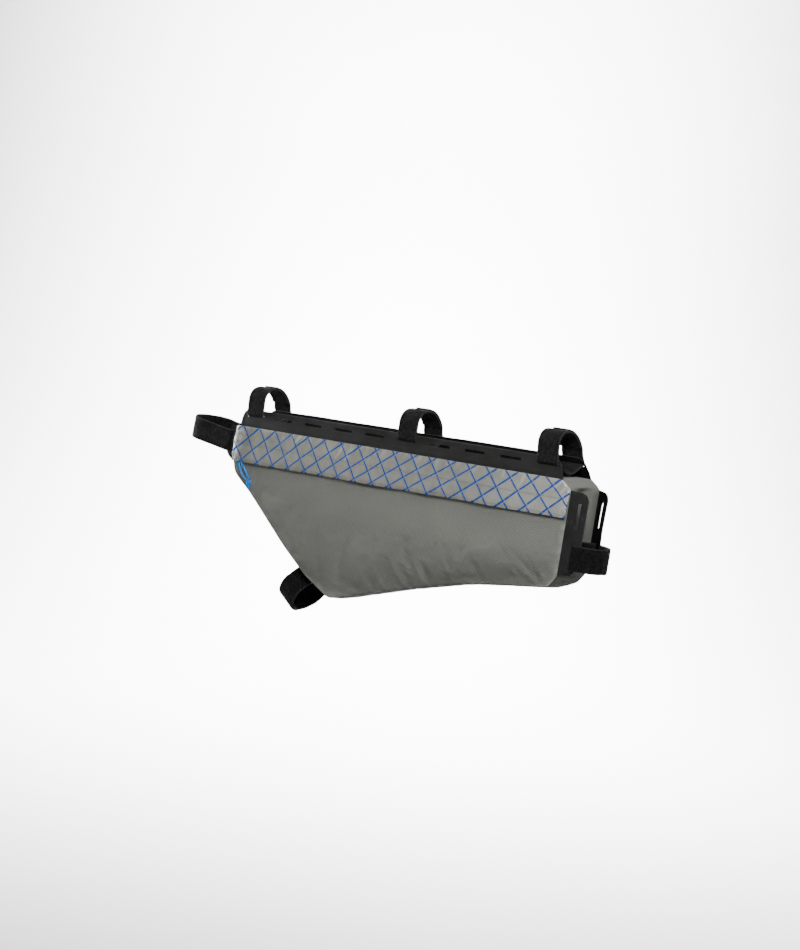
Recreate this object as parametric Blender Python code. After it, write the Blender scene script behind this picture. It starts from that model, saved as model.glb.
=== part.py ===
"""Bicycle frame bag, as it hangs from a bar: a flat, hollow cloth bag with slotted flanges and straps.

Metres. X runs along the bar to the rear, Y to the bag's right side and Z up, square to the bar.
The origin is on the bar's axis at the middle strap.
"""

import math

import bmesh
import bpy
from mathutils import Matrix, Vector

# Clearances and cloth
GAP = 0.0003  # between pieces that touch on the real bag
WALL = 0.0015  # cloth of the body
FLAP_THICKNESS = 0.0010
FLANGE_THICKNESS = 0.0015
STRAP_THICKNESS = 0.0020

# Bag body
BAG_LENGTH = 0.475
BAG_HEIGHT = 0.177
SEAM_SPAN = 0.054  # from the left seam to the right one
BAG_DROP = 0.025  # from the top bar's axis down to the body
PANEL_CROWN = 0.0045
CROWN_RAMP = 0.045  # height over which a panel fills out below the flap
BELLY_CROWN = 0.0020
TOP_CROWN = 0.0006
OUTLINE_SPACING = 0.032
SEGMENT_TURN = math.radians(18)
SAME_PLACE = 1e-6

# Bars that the straps hold, which aren't built
TOP_BAR_RADIUS = 0.0200
REAR_BAR_RADIUS = 0.0170
FRONT_BAR_RADIUS = 0.0235
LOWER_BAR_RADIUS = 0.0240
REAR_BAR_REACH = 0.0149  # from the rear seams to the rear bar's axis
FRONT_BAR_REACH = 0.067  # from the front seams to the front bar's axis

# Straps
STRAP_WIDTH = 0.025
STRAP_BEND = 0.0016  # centreline radius where a strap turns through a slot
STRAP_LAP = 0.024
LOWER_LAP = 0.044
LAP_RAMP = 0.009  # length over which the lapped end climbs onto the layer below
END_ROUND = 0.007
LOWER_END_ANGLE = math.radians(62)  # where the lower strap's end lies, from the body to the left
MIDDLE_SLOT = 5  # slot of the strap at the origin
LOOP_SPACING = 0.008
LOOP_TURN = math.radians(16)
LOOP_STEPS = 24  # pieces of a strap that goes right round its bar
LOWER_STRAP_SHARE = 0.10  # place along the lower front edge, from the keel
REAR_STRAP_SHARE = 0.765  # place along the rear edge, from the shoulder
FRONT_STRAP_SHARE = 0.47  # place along the front edge, from the nose
STRAP_SLOTS = (
    # name, slot, rake: the lean to the front for each metre of rise above the slots
    ("front", 0, 0.24),
    ("middle", 5, 0.16),
    ("rear", 9, 0.24),
)

# Slots
SLOT_COUNT = 10
FRONT_SLOT_INSET = 0.027  # from the body's front end to the middle of the first slot
LAST_SLOT_INSET = 0.034  # from the middle of the last slot to the body's rear end
SLOT_LENGTH = 0.026
SLOT_WIDTH = 0.0029
TOP_SLOT_RISE = 0.0133  # slant distance from the seam to the slots
REAR_SLOT_RISE = 0.0100
FRONT_SLOT_RISE = 0.0140
REAR_SLOT_PITCH = 0.042

# Flanges
TOP_FLANGE_HEIGHT = 0.0208
REAR_FLANGE_WIDTH = 0.0185
FRONT_FLANGE_WIDTH = 0.0185
FRONT_FLANGE_INSET = 0.005  # from the front seam in across the front face

# Flange outlines, each as shares of the flange's own width. Along is counted from the flange's own
# start or end.
TOP_FLANGE_REAR = ((0.00, 0.00), (-0.10, 0.30), (-0.32, 0.72), (-0.52, 0.93), (-0.80, 1.00))
TOP_FLANGE_FRONT = ((0.45, 1.00), (0.20, 0.93), (0.05, 0.76), (0.00, 0.50), (0.00, 0.00))
REAR_FLANGE_FOOT = ((0.10, 0.00), (0.06, 0.35), (0.00, 0.66), (-0.25, 0.85), (-0.85, 0.93))
REAR_FLANGE_TOP = ((0.90, 1.00), (0.45, 1.00), (0.16, 0.88), (0.03, 0.62), (0.00, 0.00))
FRONT_FLANGE_TOP = ((0.08, 0.00), (0.04, 0.60), (-0.10, 0.88), (-0.30, 1.00))
FRONT_FLANGE_FOOT = ((0.25, 1.00), (0.02, 0.90), (-0.14, 0.70), (-0.30, 0.40), (-0.40, 0.00))

# Flap, zip and pull
FLAP_DEPTH_FRONT = 0.0425
FLAP_DEPTH_REAR = 0.0380
FLAP_LIFT = 0.0024  # how far the flap's free half stands off the body
FLAP_REAR_INSET = 0.0015
FLAP_ROWS = (
    # down as a share of the flap's depth, lift as a share of FLAP_LIFT
    (0.00, 0.0),
    (0.23, 0.0),
    (0.45, 0.0),
    (0.62, 1.0),
    (1.00, 1.0),
)
FLAP_COLUMNS = (0.08, 0.25, 0.50, 0.75, 0.92, 1.0)  # shares of the flap's length
FLAP_CORNER_STEPS = 3
ZIP_DROP = 0.029  # from the body's top to the zip's middle
ZIP_SLIT = 0.0070
ZIP_FRONT_INSET = 0.0055
ZIP_REAR_INSET = 0.0140
ZIP_COIL = 0.0012
SLIDER_LENGTH = 0.0080
SLIDER_POST_RADIUS = 0.0007
SLIDER_POST_HEIGHT = 0.0024
CORD_DIAMETER = 0.0018
KNOT_RADIUS = 0.0026
TAIL_LENGTH = 0.0070

# Corners of the body's outline, clockwise from the top front. Along is a share of BAG_LENGTH,
# down and round (the corner's radius) are shares of BAG_HEIGHT.
OUTLINE = (
    # name, along, down, round
    ("top front", 0.013, 0.000, 0.030),
    ("top rear", 0.975, 0.000, 0.030),
    ("shoulder", 1.000, 0.050, 0.045),
    ("rear foot", 0.989, 0.548, 0.060),
    ("rear corner", 0.968, 0.620, 0.070),
    ("belly rear", 0.739, 0.713, 2.000),
    ("belly front", 0.568, 0.832, 3.000),
    ("tip", 0.359, 1.000, 0.070),
    ("keel", 0.276, 0.885, 0.280),
    ("slope low", 0.200, 0.735, 1.000),
    ("slope high", 0.070, 0.435, 1.000),
    ("cheek", 0.010, 0.320, 0.100),
    ("nose", 0.000, 0.240, 0.100),
)

# Where a panel's rings lie, as shares of the way from its middle to the seam
PANEL_RINGS = (0.14, 0.34, 0.55, 0.75, 0.91)
PANEL_MIDDLE = (0.50, 0.48)  # along and down
GUSSET_STATIONS = (-1.0, -0.75, -0.45, -0.20, 0.0, 0.20, 0.45, 0.75, 1.0)
DENT_SPAN = 0.85  # share of the gusset that the rear bar's dent takes
REAR_FACING = (0.75, 0.95)  # X of the outward normal, where the rear face starts and is full
LOW_FACING = (0.50, 0.90)  # the same for the underside, of minus Z
TAIL_FACING = (-0.36, -0.16)  # the same for the underside behind the tip, of X
HIGH_FACING = (0.80, 1.00)  # the same for the top, of Z

# Soft folds of the side panels. Along and down place the middle, length and width are shares of
# BAG_HEIGHT, turn is in degrees from the bar's direction and rise is a share of PANEL_CROWN.
FOLDS = (
    # along, down, turn, length, width, rise
    (0.30, 0.62, 38, 0.42, 0.10, 0.28),
    (0.37, 0.78, 52, 0.30, 0.08, -0.30),
    (0.45, 0.78, 118, 0.22, 0.08, 0.26),
    (0.60, 0.68, 112, 0.20, 0.08, -0.26),
    (0.72, 0.60, 108, 0.18, 0.08, 0.20),
    (0.86, 0.50, 128, 0.24, 0.09, -0.24),
)

# Route of the pull's left strand, from the post to the knot, then the right one, as steps in
# metres from the post: along, out from the body and down.
CORD_ROUTE = (
    (-0.0019, 0.0000, 0.0000),
    (-0.0017, 0.0001, 0.0070),
    (-0.0011, 0.0003, 0.0140),
    (0.0045, 0.0018, 0.0222),
    (0.0114, 0.0034, 0.0288),
    (0.0199, 0.0044, 0.0337),
)
CORD_RETURN = (
    (0.0224, 0.0044, 0.0320),
    (0.0180, 0.0034, 0.0264),
    (0.0122, 0.0020, 0.0210),
    (0.0034, 0.0004, 0.0138),
    (0.0021, 0.0001, 0.0070),
    (0.0019, 0.0000, 0.0000),
)
KNOT_PLACE = (0.0228, 0.0044, 0.0354)
TAIL_ENDS = ((0.0200, 0.0047, 0.0415), (0.0240, 0.0046, 0.0430))
CORD_SPACING = 0.0030


def clear_scene():
    for obj in list(bpy.data.objects):
        bpy.data.objects.remove(obj)


def material(name, color, roughness, metallic=0.0):
    made = bpy.data.materials.new(name)
    made.use_nodes = True
    shader = made.node_tree.nodes["Principled BSDF"]
    shader.inputs["Base Color"].default_value = (*color, 1.0)
    shader.inputs["Roughness"].default_value = roughness
    shader.inputs["Metallic"].default_value = metallic
    return made


def object_from(name, bm, finish, parent=None):
    bmesh.ops.recalc_face_normals(bm, faces=bm.faces[:])
    mesh = bpy.data.meshes.new(name)
    bm.to_mesh(mesh)
    bm.free()
    mesh.materials.append(finish)
    obj = bpy.data.objects.new(name, mesh)
    bpy.context.scene.collection.objects.link(obj)
    obj.parent = parent
    return obj


def smoothstep(value):
    value = min(max(value, 0.0), 1.0)
    return value * value * (3 - 2 * value)


def ramp(value, limits):
    start, full = limits
    return smoothstep((value - start) / (full - start))


# Paths in a plane

def cross(a, b):
    return a.x * b.y - a.y * b.x


def rounded(corners, spacing=OUTLINE_SPACING, turn_step=SEGMENT_TURN):
    """Points of a closed path, from its corners and the radius that rounds each."""
    points = []
    for i, (corner, radius) in enumerate(corners):
        back = (corners[i - 1][0] - corner).normalized()
        ahead = (corners[(i + 1) % len(corners)][0] - corner).normalized()
        turn = math.pi - back.angle(ahead)
        reach = radius * math.tan(turn / 2)
        centre = corner + (back + ahead).normalized() * (radius / math.cos(turn / 2))
        arm = corner + back * reach - centre
        way = math.copysign(1, cross(-back, ahead))
        steps = max(1, math.ceil(turn / turn_step), math.ceil(turn * radius / spacing))
        for k in range(steps + 1):
            place = centre + Matrix.Rotation(way * turn * k / steps, 2) @ arm
            if not points or (place - points[-1]).length > SAME_PLACE:
                points.append(place)
    return points


def subdivided(points, spacing):
    """The closed path with its long straight runs cut into shorter ones."""
    cut = []
    for i, start in enumerate(points):
        end = points[(i + 1) % len(points)]
        steps = max(1, math.ceil((end - start).length / spacing))
        cut += [start.lerp(end, k / steps) for k in range(steps)]
    return cut


def left_normals(points):
    """At each point of a closed path, the mitred normal on its left."""
    normals = []
    for i, point in enumerate(points):
        before = (point - points[i - 1]).normalized()
        after = (points[(i + 1) % len(points)] - point).normalized()
        side = Vector((-before.y, before.x))
        mean = (side + Vector((-after.y, after.x))).normalized()
        normals.append(mean / mean.dot(side))
    return normals


# Body

def slot_x(index):
    pitch = (BAG_LENGTH - FRONT_SLOT_INSET - LAST_SLOT_INSET) / (SLOT_COUNT - 1)
    return (index - MIDDLE_SLOT) * pitch


def place_xz(along, down):
    front = slot_x(0) - FRONT_SLOT_INSET
    return Vector((along * BAG_LENGTH + front, -down * BAG_HEIGHT - BAG_DROP))


def corner(name):
    return next(place_xz(along, down) for key, along, down, _ in OUTLINE if key == name)


def edge_x(first, second, z):
    """X on the outline's edge between two named corners, at height z."""
    a = corner(first)
    b = corner(second)
    return a.x + (b.x - a.x) * (z - a.y) / (b.y - a.y)


def front_x(z):
    return edge_x("top front", "nose", z)


def rear_x(z):
    if z > corner("shoulder").y:
        return edge_x("top rear", "shoulder", z)
    return edge_x("shoulder", "rear foot", z)


def body_outline():
    corners = [(place_xz(along, down), turn * BAG_HEIGHT) for _, along, down, turn in OUTLINE]
    return subdivided(rounded(corners), OUTLINE_SPACING)


def flap_depth(x):
    share = (x - corner("top front").x) / (corner("top rear").x - corner("top front").x)
    return FLAP_DEPTH_FRONT + (FLAP_DEPTH_REAR - FLAP_DEPTH_FRONT) * share


def panel_bulge(ring, x, z):
    """How far a side panel stands out of its seams."""
    below = -BAG_DROP - flap_depth(x) - FLAP_LIFT - z
    bulge = smoothstep(below / CROWN_RAMP)
    for along, down, turn, length, width, rise in FOLDS:
        step = Vector((x, z)) - place_xz(along, down)
        run = Vector((math.cos(math.radians(turn)), math.sin(math.radians(turn))))
        u = step.dot(run) / (length * BAG_HEIGHT)
        v = cross(run, step) / (width * BAG_HEIGHT)
        bulge += rise * math.exp(-u * u - v * v) * smoothstep(below / CROWN_RAMP)
    return PANEL_CROWN * bulge * (1 - ring**4)


def rear_dent():
    """Depth that lets the rear strap pass between the body and the rear bar."""
    return REAR_BAR_RADIUS + 3 * GAP + STRAP_THICKNESS - REAR_BAR_REACH


def gusset_bulge(station, normal):
    """How far the gusset stands out between the seams, by which way it faces."""
    across = 1 - station**2
    rear = ramp(normal.x, REAR_FACING)
    belly = ramp(-normal.y, LOW_FACING) * ramp(normal.x, TAIL_FACING) * (1 - rear)
    top = ramp(normal.y, HIGH_FACING)
    channel = (1 + math.cos(math.pi * min(abs(station) / DENT_SPAN, 1))) / 2
    return across * (BELLY_CROWN * belly + TOP_CROWN * top) - rear_dent() * rear * channel


def zip_line():
    """Front end, rear end and height of the zip's slit."""
    z = -BAG_DROP - ZIP_DROP
    return front_x(z) + ZIP_FRONT_INSET, rear_x(z) - ZIP_REAR_INSET, z


def slit_point(rim_point):
    """The point of the slit's edge that the left panel's rings run to from a point of its rim."""
    start, end, z = zip_line()
    if rim_point.y > z:
        first, last, side = corner("top front"), corner("top rear"), 1
    else:
        first, last, side = corner("cheek"), corner("rear corner"), -1
    span = min(max((rim_point.x - first.x) / (last.x - first.x), 0), 1)
    rise = side
    if span in (0, 1):
        far = first if span == 0 else last
        rise = side * min((rim_point.y - z) / (far.y - z), 1)
    return Vector((start + (end - start) * span, z + rise * ZIP_SLIT / 2))


def skin(bm, inset):
    """Rings of one face of the cloth, from the slit over the gusset to the right panel's middle."""
    path = body_outline()
    normals = left_normals(path)
    rim = [p - n * inset for p, n in zip(path, normals)]
    half = SEAM_SPAN / 2 - inset
    slit = [slit_point(p) for p in path]
    middle = [place_xz(*PANEL_MIDDLE)] * len(rim)

    def panel_ring(side, share, inner):
        points = [q + (p - q) * share for p, q in zip(rim, inner)]
        return [bm.verts.new((p.x, side * (half + panel_bulge(share, p.x, p.y)), p.y)) for p in points]

    rings = [panel_ring(-1, share, slit) for share in (0.0, *PANEL_RINGS)]
    for station in GUSSET_STATIONS:
        out = [p + n * gusset_bulge(station, n) for p, n in zip(rim, normals)]
        rings.append([bm.verts.new((p.x, station * half, p.y)) for p in out])
    rings += [panel_ring(1, share, middle) for share in reversed(PANEL_RINGS)]
    for inner, outer in zip(rings, rings[1:]):
        join_rings(bm, inner, outer)
    end = middle[0]
    centre = bm.verts.new((end.x, half + panel_bulge(0, end.x, end.y), end.y))
    for i, vert in enumerate(rings[-1]):
        bm.faces.new((centre, rings[-1][i - 1], vert))
    return rings


def join_rings(bm, first, second):
    for i in range(len(first)):
        bm.faces.new((first[i - 1], first[i], second[i], second[i - 1]))


def build_body(cloth):
    bm = bmesh.new()
    outside = skin(bm, 0.0)
    inside = skin(bm, WALL)
    join_rings(bm, outside[0], inside[0])
    object_from("bag_shell", bm, cloth)


def box(name, low, high, finish):
    bm = bmesh.new()
    bmesh.ops.create_cube(bm, size=1.0)
    size = Vector(high) - Vector(low)
    bmesh.ops.scale(bm, vec=size, verts=bm.verts[:])
    bmesh.ops.translate(bm, vec=(Vector(low) + Vector(high)) / 2, verts=bm.verts[:])
    return object_from(name, bm, finish)


def join_by_boolean(obj, other):
    step = obj.modifiers.new(other.name, "BOOLEAN")
    step.operation = "UNION"
    step.object = other
    step.solver = "EXACT"
    other.hide_render = True
    other.display_type = "WIRE"


# Flap over the zip

def flap_row(down, lift):
    """One row of the flap, from its end on the front face round to its rear end."""
    wrap = FRONT_FLANGE_INSET - FLANGE_THICKNESS / 2 - GAP
    face = SEAM_SPAN / 2

    def height(share_along):
        depth = FLAP_DEPTH_FRONT + (FLAP_DEPTH_REAR - FLAP_DEPTH_FRONT) * share_along
        return -BAG_DROP - GAP - down * (depth - GAP)

    z = height(0)
    edge = front_x(z)
    row = [Vector((edge - lift, wrap - face, z))]
    for k in range(FLAP_CORNER_STEPS + 1):
        turn = math.pi / 2 * k / FLAP_CORNER_STEPS
        row.append(Vector((edge - lift * math.cos(turn), -face - lift * math.sin(turn), z)))
    for share in FLAP_COLUMNS:
        z = height(share)
        end = rear_x(z) - FLAP_REAR_INSET
        row.append(Vector((edge + (end - edge) * share, -face - lift, z)))
    return row


def build_flap(laminate):
    inner = [flap_row(down, GAP + lift * FLAP_LIFT) for down, lift in FLAP_ROWS]
    outer = [flap_row(down, GAP + lift * FLAP_LIFT + FLAP_THICKNESS) for down, lift in FLAP_ROWS]
    bm = bmesh.new()
    inside = [[bm.verts.new(p) for p in row] for row in inner]
    outside = [[bm.verts.new(p) for p in row] for row in outer]
    rows = len(inside)
    columns = len(inside[0])
    for i in range(rows - 1):
        for j in range(columns - 1):
            bm.faces.new((inside[i][j], inside[i][j + 1], inside[i + 1][j + 1], inside[i + 1][j]))
            bm.faces.new((outside[i][j], outside[i + 1][j], outside[i + 1][j + 1], outside[i][j + 1]))
    for i in range(rows - 1):
        for j in (0, columns - 1):
            bm.faces.new((inside[i][j], outside[i][j], outside[i + 1][j], inside[i + 1][j]))
    for j in range(columns - 1):
        for i in (0, rows - 1):
            bm.faces.new((inside[i][j], outside[i][j], outside[i][j + 1], inside[i][j + 1]))
    object_from("zip_flap", bm, laminate)


# Zip and its pull

def extruded(name, profile, start, end, finish):
    """A profile of (y, z) points run along X."""
    bm = bmesh.new()
    face = bm.faces.new([bm.verts.new((start, y, z)) for y, z in profile])
    run = bmesh.ops.extrude_face_region(bm, geom=[face])
    moved = [item for item in run["geom"] if isinstance(item, bmesh.types.BMVert)]
    bmesh.ops.translate(bm, vec=(end - start, 0, 0), verts=moved)
    return object_from(name, bm, finish)


def build_zip(tape_finish, slider_finish):
    start, end, z = zip_line()
    face = SEAM_SPAN / 2
    half = ZIP_SLIT / 2 - GAP
    tape_start = start + 2 * GAP + SLIDER_LENGTH
    back = WALL + ZIP_COIL
    coil = half / 2
    profile = (
        (-face, z - half),
        (-face, z + half),
        (-face + WALL, z + half),
        (-face + WALL, z + coil),
        (-face + back, z + coil / 2),
        (-face + back, z - coil / 2),
        (-face + WALL, z - coil),
        (-face + WALL, z - half),
    )
    extruded("zip_tape", profile, tape_start, end - GAP, tape_finish)
    low = (start + GAP, -face, z - half)
    high = (start + GAP + SLIDER_LENGTH, -face + back, z + half)
    slider = box("zip_slider", low, high, slider_finish)
    bm = bmesh.new()
    foot = WALL / 2
    bmesh.ops.create_cone(
        bm,
        cap_ends=True,
        segments=10,
        radius1=SLIDER_POST_RADIUS,
        radius2=SLIDER_POST_RADIUS,
        depth=SLIDER_POST_HEIGHT + foot,
        matrix=Matrix.Rotation(math.pi / 2, 4, "X"),
    )
    post = object_from("post_joiner", bm, slider_finish)
    place = post_place()
    post.location = (place.x, -face - (SLIDER_POST_HEIGHT - foot) / 2, place.z)
    join_by_boolean(slider, post)


def post_place():
    start, _, z = zip_line()
    return Vector((start + GAP + SLIDER_LENGTH / 2, -SEAM_SPAN / 2, z))


def cord_point(step):
    """A point of the pull, from its step: along, out and down from the post."""
    along, out, down = step
    depth = GAP + CORD_DIAMETER / 2
    return post_place() + Vector((along, -depth - out, -down))


def smooth_route(points, spacing):
    """Points along a smooth curve through the route's own points."""
    ends = [2 * points[0] - points[1], *points, 2 * points[-1] - points[-2]]
    route = [points[0]]
    for a, b, c, d in zip(ends, ends[1:], ends[2:], ends[3:]):
        steps = max(2, round((c - b).length / spacing))
        for k in range(1, steps + 1):
            t = k / steps
            pull = (2 * b) + (c - a) * t + (2 * a - 5 * b + 4 * c - d) * t**2
            route.append((pull + (3 * b - a - 3 * c + d) * t**3) / 2)
    return route


def tube(name, route, finish):
    """A cord: a round bevel along a polyline, with filled caps."""
    curve = bpy.data.curves.new(name, "CURVE")
    curve.dimensions = "3D"
    curve.bevel_depth = CORD_DIAMETER / 2
    curve.bevel_resolution = 2
    curve.use_fill_caps = True
    spline = curve.splines.new("POLY")
    spline.points.add(len(route) - 1)
    for item, place in zip(spline.points, route):
        item.co = (*place, 1.0)
    curve.materials.append(finish)
    obj = bpy.data.objects.new(name, curve)
    bpy.context.scene.collection.objects.link(obj)
    return obj


def build_pull(cord_finish):
    radius = SLIDER_POST_RADIUS + GAP + CORD_DIAMETER / 2
    turn = [
        (-radius * math.cos(a), 0.0, -radius * math.sin(a))
        for a in (math.pi * k / 6 for k in range(1, 6))
    ]
    down = [cord_point(step) for step in reversed(CORD_ROUTE)]
    over = [cord_point(step) for step in turn]
    back = [cord_point(step) for step in reversed(CORD_RETURN)]
    tube("pull_cord", smooth_route(down + over + back, CORD_SPACING), cord_finish)

    bm = bmesh.new()
    bmesh.ops.create_icosphere(bm, subdivisions=2, radius=KNOT_RADIUS)
    knot = object_from("cord_knot", bm, cord_finish)
    knot.location = cord_point(KNOT_PLACE)
    for i, end in enumerate(TAIL_ENDS):
        axis = cord_point(end) - cord_point(KNOT_PLACE)
        bm = bmesh.new()
        bmesh.ops.create_cone(
            bm,
            cap_ends=True,
            segments=8,
            radius1=CORD_DIAMETER / 2,
            radius2=CORD_DIAMETER / 2,
            depth=TAIL_LENGTH,
            matrix=Matrix.Translation((0, 0, TAIL_LENGTH / 2)),
        )
        tail = object_from(f"tail_joiner_{i}", bm, cord_finish)
        tail.location = cord_point(KNOT_PLACE)
        tail.rotation_mode = "QUATERNION"
        tail.rotation_quaternion = axis.to_track_quat("Z", "Y")
        join_by_boolean(knot, tail)


# Fastenings: each group's X runs along an edge of the body, Y to the right and Z away from it

def group(name, first, second, share):
    """An empty on the outline's edge between two corners, with Z square to that edge."""
    a = corner(first)
    b = corner(second)
    place = a.lerp(b, share)
    run = (b - a).normalized()
    empty = bpy.data.objects.new(name, None)
    bpy.context.scene.collection.objects.link(empty)
    empty.location = (place.x, 0, place.y)
    empty.rotation_euler = (0, math.atan2(-run.y, run.x), 0)
    return empty


def flange_lean(bar_reach, loop_radius, lateral):
    """Lean that lets a strap run straight from its slot, close outside the flange, to the bar."""
    stand_off = FLANGE_THICKNESS / 2 + GAP + STRAP_THICKNESS / 2
    return math.acos((loop_radius - stand_off) / math.hypot(lateral, bar_reach)) - math.atan2(bar_reach, lateral)


def flange(name, parent, outline, slots, side, lateral, lean, finish):
    """A flat strip with slots, leaning in from the seam. X runs along it and Y up its slant."""
    foot = (GAP + FLANGE_THICKNESS / 2 * math.sin(lean)) / math.cos(lean)
    bm = bmesh.new()
    rim = [bm.verts.new((x, max(y, foot), -FLANGE_THICKNESS / 2)) for x, y in outline]
    loops = [rim]
    tip = SLOT_WIDTH / 4
    for middle_x, middle_y in slots:
        hole = (
            (SLOT_LENGTH / 2 - tip, SLOT_WIDTH / 2),
            (SLOT_LENGTH / 2, tip),
            (SLOT_LENGTH / 2, -tip),
            (SLOT_LENGTH / 2 - tip, -SLOT_WIDTH / 2),
            (tip - SLOT_LENGTH / 2, -SLOT_WIDTH / 2),
            (-SLOT_LENGTH / 2, -tip),
            (-SLOT_LENGTH / 2, tip),
            (tip - SLOT_LENGTH / 2, SLOT_WIDTH / 2),
        )
        z = -FLANGE_THICKNESS / 2
        loops.append([bm.verts.new((middle_x + x, middle_y + y, z)) for x, y in hole])
    for loop in loops:
        for i, vert in enumerate(loop):
            bm.edges.new((loop[i - 1], vert))
    bmesh.ops.triangle_fill(bm, use_beauty=True, edges=bm.edges[:])
    run = bmesh.ops.extrude_face_region(bm, geom=bm.faces[:])
    moved = [item for item in run["geom"] if isinstance(item, bmesh.types.BMVert)]
    bmesh.ops.translate(bm, vec=(0, 0, FLANGE_THICKNESS), verts=moved)
    obj = object_from(name, bm, finish, parent)
    obj.location = (0, side * lateral, 0)
    obj.rotation_euler = (math.pi / 2 + side * lean, 0, 0)
    return obj


def tangent_way(start, centre, radius, side):
    """Unit vector from start that touches the circle, on its left (side 1) or right (side -1)."""
    ray = centre - start
    turn = math.asin(radius / ray.length)
    return Matrix.Rotation(side * turn, 2) @ ray.normalized()


def meeting(a, way_a, b, way_b):
    """Where two lines meet."""
    return a + way_a * (cross(b - a, way_b) / cross(way_a, way_b))


def slotted_loop(lateral, lean, rise, bar_reach, loop_radius):
    """Centreline of a strap through two slots and round a bar, in (Y, Z) of its group."""
    centre = Vector((0, bar_reach))
    slot = Vector((-lateral + rise * math.sin(lean), rise * math.cos(lean)))
    stand_off = FLANGE_THICKNESS / 2 + GAP + STRAP_THICKNESS / 2
    outside = slot + Vector((-math.cos(lean), math.sin(lean))) * stand_off
    outer_way = tangent_way(outside, centre, loop_radius, 1)
    crest = meeting(outside, outer_way, Vector((0, bar_reach + loop_radius)), Vector((1, 0)))
    far_crest = Vector((-crest.x, crest.y))
    clear = slot.y < bar_reach - loop_radius
    inner_way = Vector((1, 0)) if clear else tangent_way(slot, centre, loop_radius, -1)
    bend = meeting(outside, outer_way, slot, inner_way)
    far_bend = Vector((-bend.x, bend.y))
    corners = [(far_crest, loop_radius), (crest, loop_radius), (bend, STRAP_BEND)]
    if not clear:
        keel = meeting(slot, inner_way, Vector((0, 0)), Vector((0, 1)))
        corners.append((keel, loop_radius))
    corners.append((far_bend, STRAP_BEND))
    return subdivided(rounded(corners, turn_step=LOOP_TURN), LOOP_SPACING)


def round_loop(bar_reach, loop_radius, start_angle):
    """Centreline of a strap right round a bar, from an angle measured from the body to the left."""
    points = []
    for k in range(LOOP_STEPS):
        angle = start_angle - 2 * math.pi * k / LOOP_STEPS
        away = bar_reach - loop_radius * math.cos(angle)
        points.append(Vector((-loop_radius * math.sin(angle), away)))
    return points


def strap(name, parent, loop, lap, finish, rake=0.0, rake_start=0.0):
    """A strap along a closed centreline in (Y, Z), whose end laps over its start.

    Above rake_start it leans to the front.
    """
    normals = left_normals(loop)
    area = sum(cross(loop[i - 1], loop[i]) for i in range(len(loop)))
    out = -math.copysign(1, area)
    places = [0.0]
    for i in range(len(loop)):
        places.append(places[-1] + (loop[(i + 1) % len(loop)] - loop[i]).length)
    total = places[-1]
    ends = [total + lap - END_ROUND * share for share in (1.0, 0.5, 0.13, 0.0)]
    samples = places[:-1] + [total + s for s in places if s < lap - END_ROUND * 1.05] + ends

    def at(place):
        place %= total
        i = max(k for k in range(len(loop)) if places[k] <= place + 1e-9)
        share = (place - places[i]) / (places[i + 1] - places[i])
        k = (i + 1) % len(loop)
        return loop[i].lerp(loop[k], share), normals[i].lerp(normals[k], share) * out

    bm = bmesh.new()
    rings = []
    for place in samples:
        point, normal = at(place)
        lift = (STRAP_THICKNESS + GAP) * smoothstep((place - total + LAP_RAMP) / LAP_RAMP)
        inside = point + normal * (lift - STRAP_THICKNESS / 2)
        outside = point + normal * (lift + STRAP_THICKNESS / 2)
        left = total + lap - place
        trim = END_ROUND - math.sqrt(END_ROUND**2 - (END_ROUND - left) ** 2) if left < END_ROUND else 0
        half = STRAP_WIDTH / 2 - trim
        ring = ((-half, inside), (half, inside), (half, outside), (-half, outside))
        rings.append([bm.verts.new((x - rake * max(p.y - rake_start, 0), p.x, p.y)) for x, p in ring])
    for first, second in zip(rings, rings[1:]):
        for i in range(4):
            k = (i + 1) % 4
            bm.faces.new((first[i], first[k], second[k], second[i]))
    bm.faces.new(rings[0])
    bm.faces.new(rings[-1])
    return object_from(name, bm, finish, parent)


def both_sides(name, parent, outline, slots, lateral, lean, finish):
    for side, word in ((-1, "left"), (1, "right")):
        flange(f"{name}_{word}", parent, outline, slots, side, lateral, lean, finish)


def ends_outline(first, first_shape, second, second_shape, width):
    """A flange's outline, from the shapes of its two ends."""
    ends = ((first, first_shape), (second, second_shape))
    return [(start + x * width, y * width) for start, shape in ends for x, y in shape]


def build_top(coated, hook_and_loop):
    seat = bpy.data.objects.new("top_edge", None)
    bpy.context.scene.collection.objects.link(seat)
    seat.location = (0, 0, -BAG_DROP)
    radius = TOP_BAR_RADIUS + GAP + STRAP_THICKNESS / 2
    lateral = (SEAM_SPAN - FLANGE_THICKNESS) / 2
    lean = flange_lean(BAG_DROP, radius, lateral)
    front = corner("top front").x
    rear = corner("top rear").x
    outline = ends_outline(rear, TOP_FLANGE_REAR, front, TOP_FLANGE_FRONT, TOP_FLANGE_HEIGHT)
    slots = [(slot_x(i), TOP_SLOT_RISE) for i in range(SLOT_COUNT)]
    both_sides("top_flange", seat, outline, slots, lateral, lean, coated)
    loop = slotted_loop(lateral, lean, TOP_SLOT_RISE, BAG_DROP, radius)
    rake_start = TOP_SLOT_RISE * math.cos(lean) + SLOT_WIDTH
    for word, index, rake in STRAP_SLOTS:
        name = f"top_strap_{word}"
        obj = strap(name, seat, loop, STRAP_LAP, hook_and_loop, rake, rake_start)
        obj.location.x = slot_x(index)


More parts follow.
